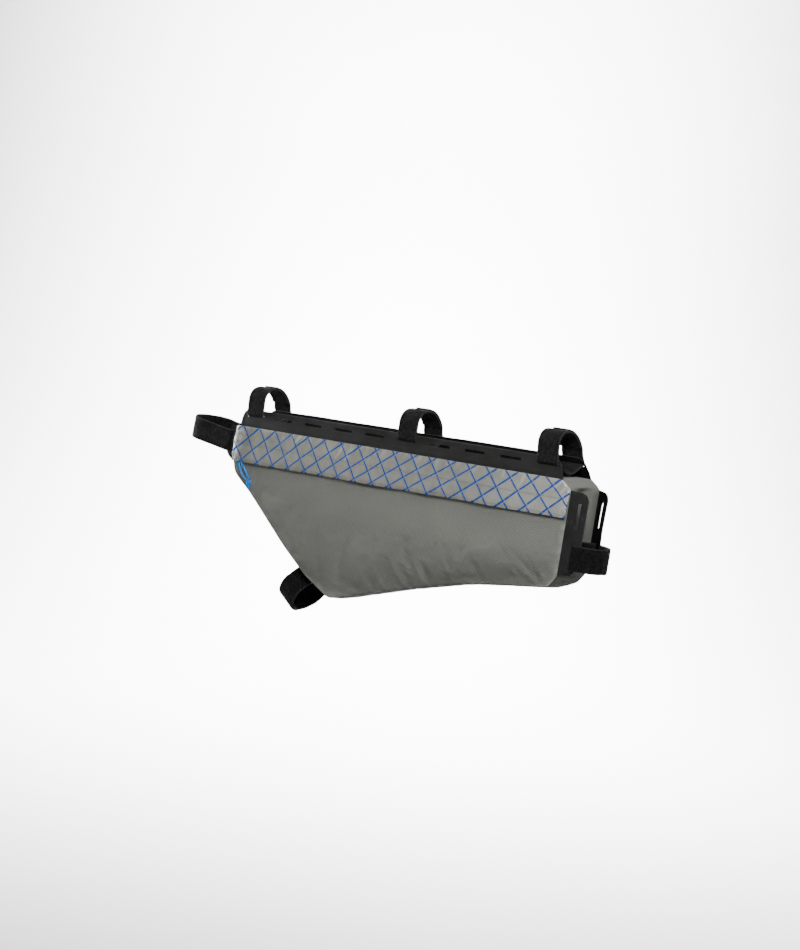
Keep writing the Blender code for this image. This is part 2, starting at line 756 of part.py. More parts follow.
def build_rear(coated, hook_and_loop):
    seat = group("rear_edge", "shoulder", "rear foot", REAR_STRAP_SHARE)
    radius = REAR_BAR_RADIUS + GAP + STRAP_THICKNESS / 2
    lateral = (SEAM_SPAN - FLANGE_THICKNESS) / 2
    lean = flange_lean(REAR_BAR_REACH, radius, lateral)
    top = -REAR_SLOT_PITCH - 0.95 * SLOT_LENGTH
    foot = 0.68 * SLOT_LENGTH
    outline = ends_outline(foot, REAR_FLANGE_FOOT, top, REAR_FLANGE_TOP, REAR_FLANGE_WIDTH)
    slots = [(0.0, REAR_SLOT_RISE), (-REAR_SLOT_PITCH, REAR_SLOT_RISE)]
    both_sides("rear_flange", seat, outline, slots, lateral, lean, coated)
    loop = slotted_loop(lateral, lean, REAR_SLOT_RISE, REAR_BAR_REACH, radius)
    strap("rear_strap", seat, loop, STRAP_LAP, hook_and_loop)


def build_front(coated, hook_and_loop):
    seat = group("front_edge", "nose", "top front", FRONT_STRAP_SHARE)
    radius = FRONT_BAR_RADIUS + GAP + STRAP_THICKNESS / 2
    lateral = SEAM_SPAN / 2 - FRONT_FLANGE_INSET
    top = 0.74 * SLOT_LENGTH
    foot = -0.60 * SLOT_LENGTH
    outline = ends_outline(top, FRONT_FLANGE_TOP, foot, FRONT_FLANGE_FOOT, FRONT_FLANGE_WIDTH)
    slots = [(0.0, FRONT_SLOT_RISE)]
    both_sides("front_flange", seat, outline, slots, lateral, 0.0, coated)
    loop = slotted_loop(lateral, 0.0, FRONT_SLOT_RISE, FRONT_BAR_REACH, radius)
    strap("front_strap", seat, loop, STRAP_LAP, hook_and_loop)


def build_lower(hook_and_loop):
    seat = group("lower_edge", "keel", "slope low", LOWER_STRAP_SHARE)
    radius = LOWER_BAR_RADIUS + GAP + STRAP_THICKNESS / 2
    reach = radius + STRAP_THICKNESS / 2 + GAP
    lap_angle = LOWER_LAP / radius
    loop = round_loop(reach, radius, LOWER_END_ANGLE + lap_angle)
    strap("lower_strap", seat, loop, LOWER_LAP, hook_and_loop)


def main():
    clear_scene()
    cloth = material("woven_cloth", (0.187, 0.195, 0.168), 0.80)
    laminate = material("ripstop_laminate", (0.300, 0.300, 0.282), 0.55)
    coated = material("coated_fabric", (0.034, 0.033, 0.032), 0.62)
    hook_and_loop = material("hook_and_loop", (0.010, 0.009, 0.010), 0.95)
    dark_zip = material("zip_plastic", (0.020, 0.020, 0.021), 0.50)
    cord = material("blue_cord", (0.000, 0.220, 0.900), 0.55)
    build_body(cloth)
    build_flap(laminate)
    build_zip(dark_zip, dark_zip)
    build_pull(cord)
    build_top(coated, hook_and_loop)
    build_rear(coated, hook_and_loop)
    build_front(coated, hook_and_loop)
    build_lower(hook_and_loop)


main()
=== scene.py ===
"""The bicycle frame bag dressed for its picture: cloth, band, flanges, straps, zip and pull."""

import math

import bmesh
import bpy
import numpy as np
from mathutils import Matrix, Vector, noise


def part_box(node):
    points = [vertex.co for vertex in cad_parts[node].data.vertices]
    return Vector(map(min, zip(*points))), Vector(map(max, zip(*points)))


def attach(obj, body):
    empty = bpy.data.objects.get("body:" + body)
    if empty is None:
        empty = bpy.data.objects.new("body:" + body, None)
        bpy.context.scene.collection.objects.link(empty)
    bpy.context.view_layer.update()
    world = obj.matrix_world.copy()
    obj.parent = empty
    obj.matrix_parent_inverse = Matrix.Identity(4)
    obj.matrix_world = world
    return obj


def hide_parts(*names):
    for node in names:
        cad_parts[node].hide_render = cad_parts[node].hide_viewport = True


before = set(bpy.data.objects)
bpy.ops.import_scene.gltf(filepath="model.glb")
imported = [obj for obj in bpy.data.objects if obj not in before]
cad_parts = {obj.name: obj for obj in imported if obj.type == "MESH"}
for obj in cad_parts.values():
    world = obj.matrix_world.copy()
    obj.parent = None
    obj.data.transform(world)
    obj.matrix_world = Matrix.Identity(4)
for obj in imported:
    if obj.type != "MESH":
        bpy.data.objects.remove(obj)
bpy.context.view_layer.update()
PI = math.pi

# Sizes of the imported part, in metres
GAP = 0.0003
BAG_LENGTH = 0.475
BAG_HEIGHT = 0.177
FRONT_REACH = 0.257
BAG_DROP = 0.025
FACE = 0.027  # from the middle to a side seam
SLOT_PITCH = 0.046
SLOT_LENGTH = 0.026
SLOT_WIDTH = 0.0029
TOP_RISE, REAR_RISE, FRONT_RISE = 0.0133, 0.0100, 0.0140  # a slot above its flange's foot
STRAP_WIDTH = 0.0258
STRAP_THICKNESS = 0.0020
FLANGE_THICKNESS = 0.0015
BESIDE = FACE - FLANGE_THICKNESS / 2
FRONT_BESIDE = FACE - 0.005
TOP_BAR, REAR_BAR, FRONT_BAR, LOWER_BAR = 0.0200, 0.0170, 0.0235, 0.0240  # radii
REAR_BAR_REACH, FRONT_BAR_REACH = 0.0149, 0.067  # from the body to the bar's axis
FLAP_FRONT = 0.0425
FLAP_REAR = 0.0380
FLAP_LIFT = 0.0024
ZIP_HEIGHT = -0.054
OUTLINE = (
    # name, along, down, corner radius, as shares of the bag's length and height
    ("top front", 0.013, 0.000, 0.030),
    ("top rear", 0.975, 0.000, 0.030),
    ("shoulder", 1.000, 0.050, 0.045),
    ("rear foot", 0.989, 0.548, 0.060),
    ("rear corner", 0.968, 0.620, 0.070),
    ("belly rear", 0.739, 0.713, 2.000),
    ("belly front", 0.568, 0.832, 3.000),
    ("tip", 0.359, 1.000, 0.070),
    ("keel", 0.276, 0.885, 0.280),
    ("slope low", 0.200, 0.735, 1.000),
    ("slope high", 0.070, 0.435, 1.000),
    ("cheek", 0.010, 0.320, 0.100),
    ("nose", 0.000, 0.240, 0.100),
)


# Small helpers

def configured(thing, **settings):
    for key, value in settings.items():
        setattr(thing, key, value)
    return thing


def link(name, data):
    """A new object of the scene that holds this data."""
    obj = bpy.data.objects.new(name, data)
    bpy.context.scene.collection.objects.link(obj)
    return obj


def make_camera():
    """The camera at the photograph's angle."""
    forward = Vector((-0.6235, 0.7765, -0.0882)).normalized()
    right = Vector((0.769, 0.630, 0.107))
    right = (right - forward * right.dot(forward)).normalized()
    data = configured(bpy.data.cameras.new("camera"), lens=58.36, sensor_width=36.0, clip_end=50.0)
    cam = link("camera", data)
    turn = Matrix((right, right.cross(forward), -forward)).transposed()
    cam.matrix_world = Matrix.Translation((1.039, -1.323, 0.0975)) @ turn.to_4x4()
    bpy.context.scene.camera = cam


make_camera()


def smoothstep(value, start=0.0, full=1.0):
    t = np.clip((np.asarray(value, float) - start) / (full - start), 0.0, 1.0)
    return t * t * (3 - 2 * t)


def hump(value, middle, width):
    return np.exp(-(((value - middle) / width) ** 2))


def wobble(place, scale, seed=0.0):
    """Smooth noise about 0, from a point and the size of its lumps."""
    return noise.noise(Vector(place) / scale + Vector((seed, 2.3 * seed, -seed)))


def add_uv(mesh, name, values):
    """A UV map from one pair of numbers for each vertex."""
    layer = mesh.uv_layers.new(name=name)
    loops = np.empty(len(mesh.loops), np.int32)
    mesh.loops.foreach_get("vertex_index", loops)
    layer.data.foreach_set("uv", np.asarray(values, np.float32)[loops].ravel())


def add_values(obj, name, values, domain="POINT"):
    layer = obj.data.attributes.new(name, "FLOAT", domain)
    layer.data.foreach_set("value", np.asarray(values, np.float32))


def mesh_object(name, verts, faces, uv=None):
    """A smooth mesh object, with a UV map in metres named cloth where each vertex has one."""
    mesh = bpy.data.meshes.new(name)
    mesh.from_pydata([tuple(map(float, v)) for v in verts], [], [tuple(map(int, f)) for f in faces])
    if uv is not None:
        add_uv(mesh, "cloth", uv)
    mesh.shade_smooth()
    mesh.validate()
    return link(name, mesh)


def grid_faces(rows, columns, start=0, closed=False, flip=False):
    """Quads of a grid of points stored row by row."""
    faces = []
    for i in range(rows - 1):
        for j in range(columns if closed else columns - 1):
            k = (j + 1) % columns
            a, b = start + i * columns + j, start + i * columns + k
            c, d = b + columns, a + columns
            faces.append((a, d, c, b) if flip else (a, b, c, d))
    return faces


def outward(obj):
    """Turns the faces of a closed mesh outwards."""
    bm = bmesh.new()
    bm.from_mesh(obj.data)
    bmesh.ops.recalc_face_normals(bm, faces=bm.faces[:])
    bm.to_mesh(obj.data)
    bm.free()


def vertex_vectors(mesh, word="co"):
    flat = np.empty(len(mesh.vertices) * 3)
    mesh.vertices.foreach_get(word, flat)
    return flat.reshape(-1, 3)


def apply_modifiers(obj):
    graph = bpy.context.evaluated_depsgraph_get()
    made = bpy.data.meshes.new_from_object(obj.evaluated_get(graph))
    old = obj.data
    obj.modifiers.clear()
    obj.data = made
    bpy.data.meshes.remove(old)


def wear_finish(obj, finish):
    obj.data.materials.clear()
    obj.data.materials.append(FINISHES[finish])


def finish_piece(obj, finish, slot, *nodes):
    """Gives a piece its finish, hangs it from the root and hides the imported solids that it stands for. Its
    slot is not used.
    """
    wear_finish(obj, finish)
    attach(obj, "root")
    if nodes:
        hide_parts(*nodes)


def run_of(line):
    """How far along a polyline each of its points lies."""
    return np.r_[0.0, np.cumsum(np.linalg.norm(np.diff(line, axis=0), axis=1))]


def points_at(line, places):
    """The points that lie this far along a polyline."""
    run = run_of(line)
    return np.stack([np.interp(places, run, column) for column in line.T], axis=1)


def tube_mesh(routes, radius, sides=10, spread=None):
    """Round tubes along routes of points, as (verts, faces, uv), with closed ends."""
    verts, faces, uv = [], [], []
    for route in routes:
        route = [Vector(p) for p in route]
        start, run = len(verts), 0.0
        side = (route[1] - route[0]).orthogonal()
        for i, place in enumerate(route):
            ahead = (route[min(i + 1, len(route) - 1)] - route[max(i - 1, 0)]).normalized()
            side = (side - ahead * side.dot(ahead)).normalized()
            other = ahead.cross(side)
            if i:
                run += (place - route[i - 1]).length
            size = radius * (spread[i] if spread else 1.0)
            for k in range(sides):
                a = 2 * PI * k / sides
                verts.append(place + (side * math.cos(a) + other * math.sin(a)) * size)
                uv.append((run, a * radius))
        faces += grid_faces(len(route), sides, start, closed=True)
        for ring, turn in ((0, -1), (len(route) - 1, 1)):
            loop = [start + ring * sides + k for k in range(sides)]
            faces.append(tuple(loop[::turn]))
    return verts, faces, uv


def smooth_route(points, spacing):
    """A smooth curve through points, as points about this far apart."""
    points = [Vector(p) for p in points]
    ends = [2 * points[0] - points[1], *points, 2 * points[-1] - points[-2]]
    route = [points[0]]
    for a, b, c, d in zip(ends, ends[1:], ends[2:], ends[3:]):
        steps = max(2, round((c - b).length / spacing))
        for k in range(1, steps + 1):
            t = k / steps
            pull = (2 * b) + (c - a) * t + (2 * a - 5 * b + 4 * c - d) * t**2
            route.append((pull + (3 * b - a - 3 * c + d) * t**3) / 2)
    return route


# Materials. Arithmetic on a Value adds math nodes.

FINISHES = {}


class Value:
    """A node's output."""

    def __init__(self, made, output=0):
        self.socket = made.outputs[output]
        self.tree = made.id_data

    def math(self, operation, *others, clamp=False):
        return calculate(operation, self, *others, clamp=clamp)

    def __add__(self, other):
        return calculate("ADD", self, other)

    def __sub__(self, other):
        return calculate("SUBTRACT", self, other)

    def __rsub__(self, other):
        return calculate("SUBTRACT", other, self)

    def __mul__(self, other):
        return calculate("MULTIPLY", self, other)

    def __truediv__(self, other):
        return calculate("DIVIDE", self, other)


def put(value, socket):
    """Links a Value to a socket, or sets the socket to a number or a colour."""
    if isinstance(value, Value):
        value.tree.links.new(value.socket, socket)
    elif isinstance(value, tuple):
        socket.default_value = (*value, 1.0)
    else:
        socket.default_value = value


def fill(node, **inputs):
    """Puts values in a node's inputs. None leaves an input as it is."""
    for word, value in inputs.items():
        if value is not None:
            put(value, node.inputs[word.replace("_", " ")])


def new_node(near, kind, **settings):
    """A node in the tree of the first Value of these."""
    tree = next(value.tree for value in near if isinstance(value, Value))
    return configured(tree.nodes.new("ShaderNode" + kind), **settings)


def calculate(operation, *values, clamp=False):
    made = new_node(values, "Math", operation=operation, use_clamp=clamp)
    for value, socket in zip(values, made.inputs):
        put(value, socket)
    return Value(made)


def new_material(name, color, roughness, specular, sheen=0.0, sheen_tint=(1.0, 1.0, 1.0)):
    """The shader of a new Principled material. Fixed numbers sit on the shader's own sockets."""
    made = bpy.data.materials.new(name)
    made.use_nodes = True
    FINISHES[name] = made
    shader = made.node_tree.nodes["Principled BSDF"]
    fill(shader, Base_Color=color, Roughness=roughness, Specular_IOR_Level=specular)
    fill(shader, Sheen_Weight=sheen, Sheen_Roughness=0.5, Sheen_Tint=sheen_tint)
    return shader


def dress(shader, color, normal=None, roughness=None):
    fill(shader, Base_Color=color, Normal=normal, Roughness=roughness)


def cloth_axes(shader, uv_map="cloth"):
    """The two numbers of a UV map. Those of the map cloth are in metres."""
    tree = shader.id_data
    split = tree.nodes.new("ShaderNodeSeparateXYZ")
    put(Value(configured(tree.nodes.new("ShaderNodeUVMap"), uv_map=uv_map), "UV"), split.inputs[0])
    return Value(split, 0), Value(split, 1)


def object_place(shader):
    return Value(shader.id_data.nodes.new("ShaderNodeTexCoord"), "Object")


def attribute(shader, name):
    made = shader.id_data.nodes.new("ShaderNodeAttribute")
    return Value(configured(made, attribute_name=name), "Fac")


def noise_at(place, scale, detail=3.0, roughness=0.55):
    made = new_node([place], "TexNoise")
    fill(made, Vector=place, Scale=scale, Detail=detail, Roughness=roughness)
    return Value(made, "Fac")


def gray(level):
    return (level, level, level)


def ramp(value, *stops):
    """A colour ramp. Each stop is a position with a colour or a grey level."""
    made = new_node([value], "ValToRGB")
    points = made.color_ramp.elements
    while len(points) < len(stops):
        points.new(0.5)
    for point, (position, color) in zip(points, stops):
        point.position = position
        point.color = (*(color if isinstance(color, tuple) else gray(color)), 1.0)
    put(value, made.inputs[0])
    return Value(made)


def mix(share, first, second, blend="MIX"):
    made = new_node((share, first), "Mix", data_type="RGBA", blend_type=blend)
    for value, index in ((share, 0), (first, 6), (second, 7)):
        put(value, made.inputs[index])
    return Value(made, 2)


def overlay(share, color, value, *stops):
    """The colour, lighter and darker by a ramp about 0.5."""
    return mix(share, color, ramp(value, *stops), "OVERLAY")


def bump(height, distance, strength=1.0, under=None):
    made = new_node([height], "Bump")
    fill(made, Distance=distance, Strength=strength, Height=height, Normal=under)
    return Value(made)


def ripple(phase):
    """0 to 1 to 0, once for each unit of the phase."""
    return (phase * (2 * PI)).math("SINE").math("MULTIPLY_ADD", 0.5, 0.5)


def woven_material():
    """Matt grey-green cloth with fine diagonal ribs, a little worn along its seams and paler there with a
    painted highlight.
    """
    shader = new_material("woven_cloth", (0.20, 0.207, 0.182), 0.84, 0.0)
    x, y = cloth_axes(shader)
    place = object_place(shader)
    rib, pick = 0.00245, 0.0019
    run, rise = math.cos(math.radians(33)), math.sin(math.radians(33))
    across = y * (run / rib) - x * (rise / rib)
    ribs = ripple(noise_at(place, 30.0, 2.0).math("MULTIPLY_ADD", 0.9, across))
    picks = ripple(x * (run / pick) + y * (rise / pick) + across * 0.5)
    weave = picks.math("MULTIPLY_ADD", 0.28, ribs * 0.72)
    blotch = noise_at(place, 11.0, 4.0)
    color = ramp(
        weave, (0.0, (0.170, 0.173, 0.157)), (0.5, (0.194, 0.197, 0.179)), (1.0, (0.218, 0.221, 0.202)),
    )
    color = overlay(0.35, color, blotch, (0.3, 0.44), (0.7, 0.58))
    color = overlay(0.18, color, noise_at(place, 900.0, 2.0), (0.3, 0.35), (0.7, 0.65))
    # Worn seams, made paler still by a painted highlight along the rear edge and the gusset's rear rim.
    scuff = attribute(shader, "painted_highlight_and_wear") * ramp(noise_at(place, 160.0, 3.0), (0.35, 0.35), (0.65, 1.0))
    color = mix(scuff * 0.55, color, (0.42, 0.43, 0.40))
    color = mix(attribute(shader, "seam"), color, gray(0.012))
    soft = bump(noise_at(place, 45.0, 3.0), 0.0010, 0.40)
    dress(shader, color, bump(weave, 0.00012, 0.5, soft), ramp(blotch, (0.3, 0.70), (0.7, 0.84)))


# The ripstop grid: each family's first line and pitch at the band's top edge, in metres, and its
# slants, as the shift along for each metre of depth, at a few places along the bag.
GRID = (
    # first, pitch, slants
    (-0.2430, 0.0253, ((-0.235, 0.71), (0.045, 0.78), (0.120, 0.88), (0.165, 1.02), (0.190, 1.15))),
    (-0.2460, 0.0265, (
        (-0.220, -1.18), (-0.160, -1.25), (-0.030, -1.47), (0.075, -1.63), (0.125, -1.40), (0.205, -1.19),
    )),
)


def grid_phases(x, depth):
    """How many lines of each family lie before a point. A line runs at each whole number."""
    counts = np.arange(-3, 22)
    phases = []
    for first, pitch, slants in GRID:
        top = first + pitch * counts
        slant = np.interp(top, *zip(*slants))
        phases.append(float(np.interp(x, top + slant * depth, counts)))
    return phases


def laminate_material():
    """Satin grey laminate with the blue diamond ripstop grid."""
    shader = new_material("ripstop_laminate", (0.31, 0.31, 0.29), 0.48, 0.4)
    x, depth = cloth_axes(shader)
    place = object_place(shader)
    drift = noise_at(place, 34.0, 2.0).math("MULTIPLY_ADD", 0.10, -0.05)
    phases = [phase + drift for phase in cloth_axes(shader, "grid")]
    masks = []
    for phase, other, across, gap in ((*phases, 0.0200, 0.5), (*phases[::-1], 0.0155, 0.35)):
        inside = 0.00092 - phase.math("PINGPONG", 0.5) * across
        under = other.math("FRACT").math("COMPARE", 0.10, 0.045)
        mask = inside.math("MULTIPLY_ADD", 1 / 0.00028, 0.5, clamp=True)
        masks.append(mask * under.math("MULTIPLY_ADD", -gap, 1.0))
    line = masks[0].math("MAXIMUM", masks[1])
    line = line * ramp(noise_at(place, 240.0, 2.0), (0.30, 0.88), (0.48, 1.0))
    mottle = noise_at(place, 70.0, 5.0, 0.65)
    base = ramp(
        mottle, (0.25, (0.202, 0.205, 0.187)), (0.55, (0.255, 0.259, 0.238)), (0.8, (0.330, 0.334, 0.309)),
    )
    base = overlay(0.3, base, noise_at(place, 9.0, 2.0), (0.3, 0.42), (0.7, 0.60))
    # Painted highlights at the band's front corner and rear end, in patches like wear.
    painted_highlight_and_wear = attribute(shader, "painted_highlight_and_wear") * ramp(noise_at(place, 210.0, 4.0), (0.42, 0.0), (0.60, 1.0))
    base = mix(painted_highlight_and_wear, base, (0.80, 0.80, 0.78))
    # Painted highlights on the creases, and a painted sheen that grows towards the rear end.
    base = mix(attribute(shader, "painted_shine"), base, (0.86, 0.86, 0.84))
    hatch = ripple(depth.math("MULTIPLY_ADD", 0.9, x) / 0.0021)
    base = overlay(0.22, base, hatch, (0.0, 0.42), (1.0, 0.56))
    holes = ripple(x / 0.0030).math("GREATER_THAN", 0.62) * attribute(shader, "needle")
    base = mix(holes * 0.75, base, (0.05, 0.05, 0.048))
    blue = mix(ripple(depth / 0.0011), (0.000, 0.042, 0.250), (0.000, 0.074, 0.380))
    weave = ripple(x / 0.0009) * ripple(depth / 0.0009)
    crumple = bump(noise_at(place, 150.0, 5.0, 0.6), 0.0006, 0.5)
    normal = bump(line + weave * 0.25, 0.00018, 0.8, crumple)
    dress(shader, mix(line, base, blue), normal, ramp(mottle, (0.2, 0.40), (0.8, 0.56)))


def coated_material():
    """Matt rubbery charcoal coating with a fine grain, a painted highlight along its free cut edge and
    painted shade on its inner faces.
    """
    shader = new_material("coated_fabric", (0.024, 0.0235, 0.0235), 0.66, 0.14)
    place = object_place(shader)
    cloud = noise_at(place, 26.0, 4.0, 0.6)
    color = ramp(cloud, (0.30, (0.0160, 0.0157, 0.0157)), (0.70, (0.0235, 0.0230, 0.0230)))
    # Painted highlight along the free edge, in patches.
    painted_highlight_and_wear = attribute(shader, "painted_highlight_and_wear") * ramp(noise_at(place, 120.0, 3.0), (0.3, 0.4), (0.7, 1.0))
    color = mix(painted_highlight_and_wear * 0.6, color, (0.075, 0.074, 0.072))
    # Painted shade: the inner faces near black, so the slots look dark.
    color = mix(attribute(shader, "inside"), color, gray(0.002))
    soft = bump(noise_at(place, 60.0, 2.0), 0.0008, 0.25)
    grain = bump(noise_at(place, 1500.0, 2.0), 0.00006, 0.7, soft)
    dress(shader, color, grain, ramp(cloud, (0.3, 0.54), (0.7, 0.68)))


def strap_material():
    """Black hook-and-loop tape: brushed pile on its face and a woven selvedge along both edges."""
    shader = new_material("hook_and_loop", (0.008, 0.0075, 0.008), 0.95, 0.12, 0.12, (0.35, 0.33, 0.35))
    along, across = cloth_axes(shader)
    place = object_place(shader)
    start, blur = STRAP_WIDTH / 2 - 0.0012, 0.0004
    selvedge = across.math("ABSOLUTE").math("MULTIPLY_ADD", 1 / blur, -start / blur, clamp=True)
    pile = noise_at(place, 1100.0, 3.0, 0.7)
    clumps = noise_at(place, 330.0, 3.0, 0.6)
    base = ramp(clumps, (0.32, (0.0029, 0.0026, 0.0029)), (0.68, (0.0122, 0.0115, 0.0122)))
    base = overlay(0.5, base, pile, (0.35, 0.30), (0.72, 0.80))
    thread = ripple(along / 0.0011)
    color = mix(selvedge, base, ramp(thread, (0.0, 0.010), (1.0, 0.032)))
    fuzz = pile.math("MULTIPLY_ADD", 0.5, clumps) * (1.0 - selvedge * 0.7)
    dress(shader, color, bump((thread * selvedge).math("MULTIPLY_ADD", 0.4, fuzz), 0.0009, 0.9))


def cord_material():
    """Bright blue braided cord."""
    shader = new_material("blue_cord", (0.000, 0.180, 0.900), 0.7, 0.12)
    along, around = cloth_axes(shader)
    turns, steps = around / 0.00094, along / 0.0012
    braid = ripple(steps + turns).math("MAXIMUM", ripple(steps - turns))
    color = ramp(braid, (0.3, (0.000, 0.190, 0.860)), (0.9, (0.000, 0.330, 1.000)))
    dress(shader, color, bump(braid, 0.00025, 0.9))


def plastic_material():
    """The zip's satin black plastic."""
    shader = new_material("zip_plastic", gray(0.020), 0.45, 0.5)
    scuff = noise_at(object_place(shader), 700.0, 4.0, 0.6)
    dress(shader, ramp(scuff, (0.3, 0.017), (0.7, 0.026)), bump(scuff, 0.00005, 0.6))


def zip_tape_material():
    """Dark woven tape with a fine herringbone."""
    shader = new_material("zip_tape_weave", gray(0.016), 0.85, 0.2, 0.1)
    along, across = cloth_axes(shader)
    rows = ripple((along + across.math("PINGPONG", 0.0008)) / 0.0007)
    dress(shader, ramp(rows, (0.0, 0.010), (1.0, 0.024)), bump(rows, 0.0001, 0.8))


def thread_material():
    """Twisted grey sewing thread."""
    shader = new_material("sewing_thread", (0.20, 0.20, 0.19), 0.7, 0.3, 0.2)
    along, around = cloth_axes(shader)
    twist = ripple(along / 0.0007 + around / 0.0009)
    dress(shader, ramp(twist, (0.1, 0.13), (0.9, 0.27)), bump(twist, 0.0001, 0.8))


for make in (
    woven_material, laminate_material, coated_material, strap_material,
    cord_material, plastic_material, zip_tape_material, thread_material,
):
    make()


# The pull's cord comes first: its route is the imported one, as steps along, out and down

POST = Vector((-0.2452, -0.0270, ZIP_HEIGHT))
POST_RADIUS = 0.0007
CORD_DIAMETER = 0.0018
CORD_ROUTE = (
    (-0.0019, 0.0000, 0.0000),
    (-0.0017, 0.0001, 0.0070),
    (-0.0011, 0.0003, 0.0140),
    (0.0045, 0.0018, 0.0222),
    (0.0114, 0.0034, 0.0288),
    (0.0199, 0.0044, 0.0337),
)
CORD_RETURN = (
    (0.0224, 0.0044, 0.0320),
    (0.0180, 0.0034, 0.0264),
    (0.0122, 0.0020, 0.0210),
    (0.0034, 0.0004, 0.0138),
    (0.0021, 0.0001, 0.0070),
    (0.0019, 0.0000, 0.0000),
)
KNOT_PLACE = (0.0228, 0.0044, 0.0354)
KNOT_TURNS = 2.5
TAIL_ENDS = ((0.0200, 0.0047, 0.0415), (0.0240, 0.0046, 0.0430))


def cord_point(step):
    along, out, down = step
    return POST + Vector((along, -GAP - CORD_DIAMETER / 2 - out, -down))


def build_pull():
    radius = POST_RADIUS + GAP + CORD_DIAMETER / 2
    turn = [(-radius * math.cos(PI * k / 6), 0.0, -radius * math.sin(PI * k / 6)) for k in range(1, 6)]
    steps = [*reversed(CORD_ROUTE), *turn, *reversed(CORD_RETURN)]
    route = smooth_route([cord_point(s) for s in steps], 0.0012)
    cord = mesh_object("pull_cord_braid", *tube_mesh([route], CORD_DIAMETER / 2, 12))
    outward(cord)
    finish_piece(cord, "blue_cord", "blue_cord", "pull_cord")

    centre = cord_point(KNOT_PLACE)
    tilt = Matrix.Rotation(math.radians(-14), 3, "Y")
    loop = []
    for share in np.linspace(0, 1, 61):
        t = 2 * PI * KNOT_TURNS * share
        coil = Vector((0.0018 * math.cos(t), 0.0018 * math.sin(t), 0.0016 * (1 - 2 * share)))
        loop.append(centre + tilt @ coil)
    routes = [loop]
    for end, lean in zip(TAIL_ENDS, (-1, 1)):
        tip = centre.lerp(cord_point(end), 0.86)
        middle = (centre + tip) / 2 + Vector((0.0006 * lean, -0.0004, 0))
        routes.append(smooth_route([centre, middle, tip], 0.0006))
    knot = mesh_object("pull_knot", *tube_mesh(routes, CORD_DIAMETER / 2 * 1.08, 12))
    outward(knot)
    finish_piece(knot, "blue_cord", "blue_cord", "cord_knot")
    length = sum((b - a).length for a, b in zip(route, route[1:]))
    tuple(route[0])
    [tuple(p) for p in route]


build_pull()


# Outline of the body

def place_xz(along, down):
    return Vector((along * BAG_LENGTH - FRONT_REACH, -down * BAG_HEIGHT - BAG_DROP))


CORNERS = {name: place_xz(along, down) for name, along, down, _ in OUTLINE}


def edge_x(first, second, z):
    a, b = CORNERS[first], CORNERS[second]
    return a.x + (b.x - a.x) * (z - a.y) / (b.y - a.y)


def front_x(z):
    return edge_x("top front", "nose", z)


def rear_x(z):
    if z > CORNERS["shoulder"].y:
        return edge_x("top rear", "shoulder", z)
    return edge_x("shoulder", "rear foot", z)


def cross(a, b):
    return a.x * b.y - a.y * b.x


def rounded(corners, turn_step=math.radians(4), spacing=1.0):
    """Points of a closed path from corners and their radii, and the index of each corner's middle."""
    points, middles = [], []
    for i, (place, radius) in enumerate(corners):
        back = (corners[i - 1][0] - place).normalized()
        ahead = (corners[(i + 1) % len(corners)][0] - place).normalized()
        turn = PI - back.angle(ahead)
        centre = place + (back + ahead).normalized() * (radius / math.cos(turn / 2))
        arm = place + back * (radius * math.tan(turn / 2)) - centre
        way = math.copysign(1, cross(-back, ahead))
        steps = max(2, 2 * math.ceil(turn / turn_step / 2), 2 * math.ceil(turn * radius / spacing / 2))
        middles.append(len(points) + steps // 2)
        for k in range(steps + 1):
            points.append(centre + Matrix.Rotation(way * turn * k / steps, 2) @ arm)
    return points, middles


ACROSS, DOWN, ROUND = 112, 58, 12  # cells along the bag, down a panel and over the gusset


def panel_patch():
    """The panel's grid of (x, z) points between its four corners, DOWN + 1 rows of ACROSS + 1."""
    points, middles = rounded([(CORNERS[name], radius * BAG_HEIGHT) for name, _, _, radius in OUTLINE])
    cuts = [middles[list(CORNERS).index(name)] for name in ("top front", "top rear", "rear corner", "tip")]
    total = len(points)
    sides = []
    for first, last, count in zip(cuts, cuts[1:] + cuts[:1], (ACROSS, DOWN, ACROSS, DOWN)):
        stop = last if last > first else last + total
        line = np.array([tuple(points[k % total]) for k in range(first, stop + 1)])
        sides.append(points_at(line, np.linspace(0, run_of(line)[-1], count + 1)))
    top, right, bottom, left = sides[0], sides[1], sides[2][::-1], sides[3][::-1]
    u = np.linspace(0, 1, ACROSS + 1)[None, :, None]
    v = np.linspace(0, 1, DOWN + 1)[:, None, None]
    mixed = (1 - v) * top[None] + v * bottom[None] + (1 - u) * left[:, None] + u * right[:, None]
    upper = (1 - u) * (1 - v) * top[0] + u * (1 - v) * top[-1]
    return mixed - (upper + (1 - u) * v * bottom[0] + u * v * bottom[-1])
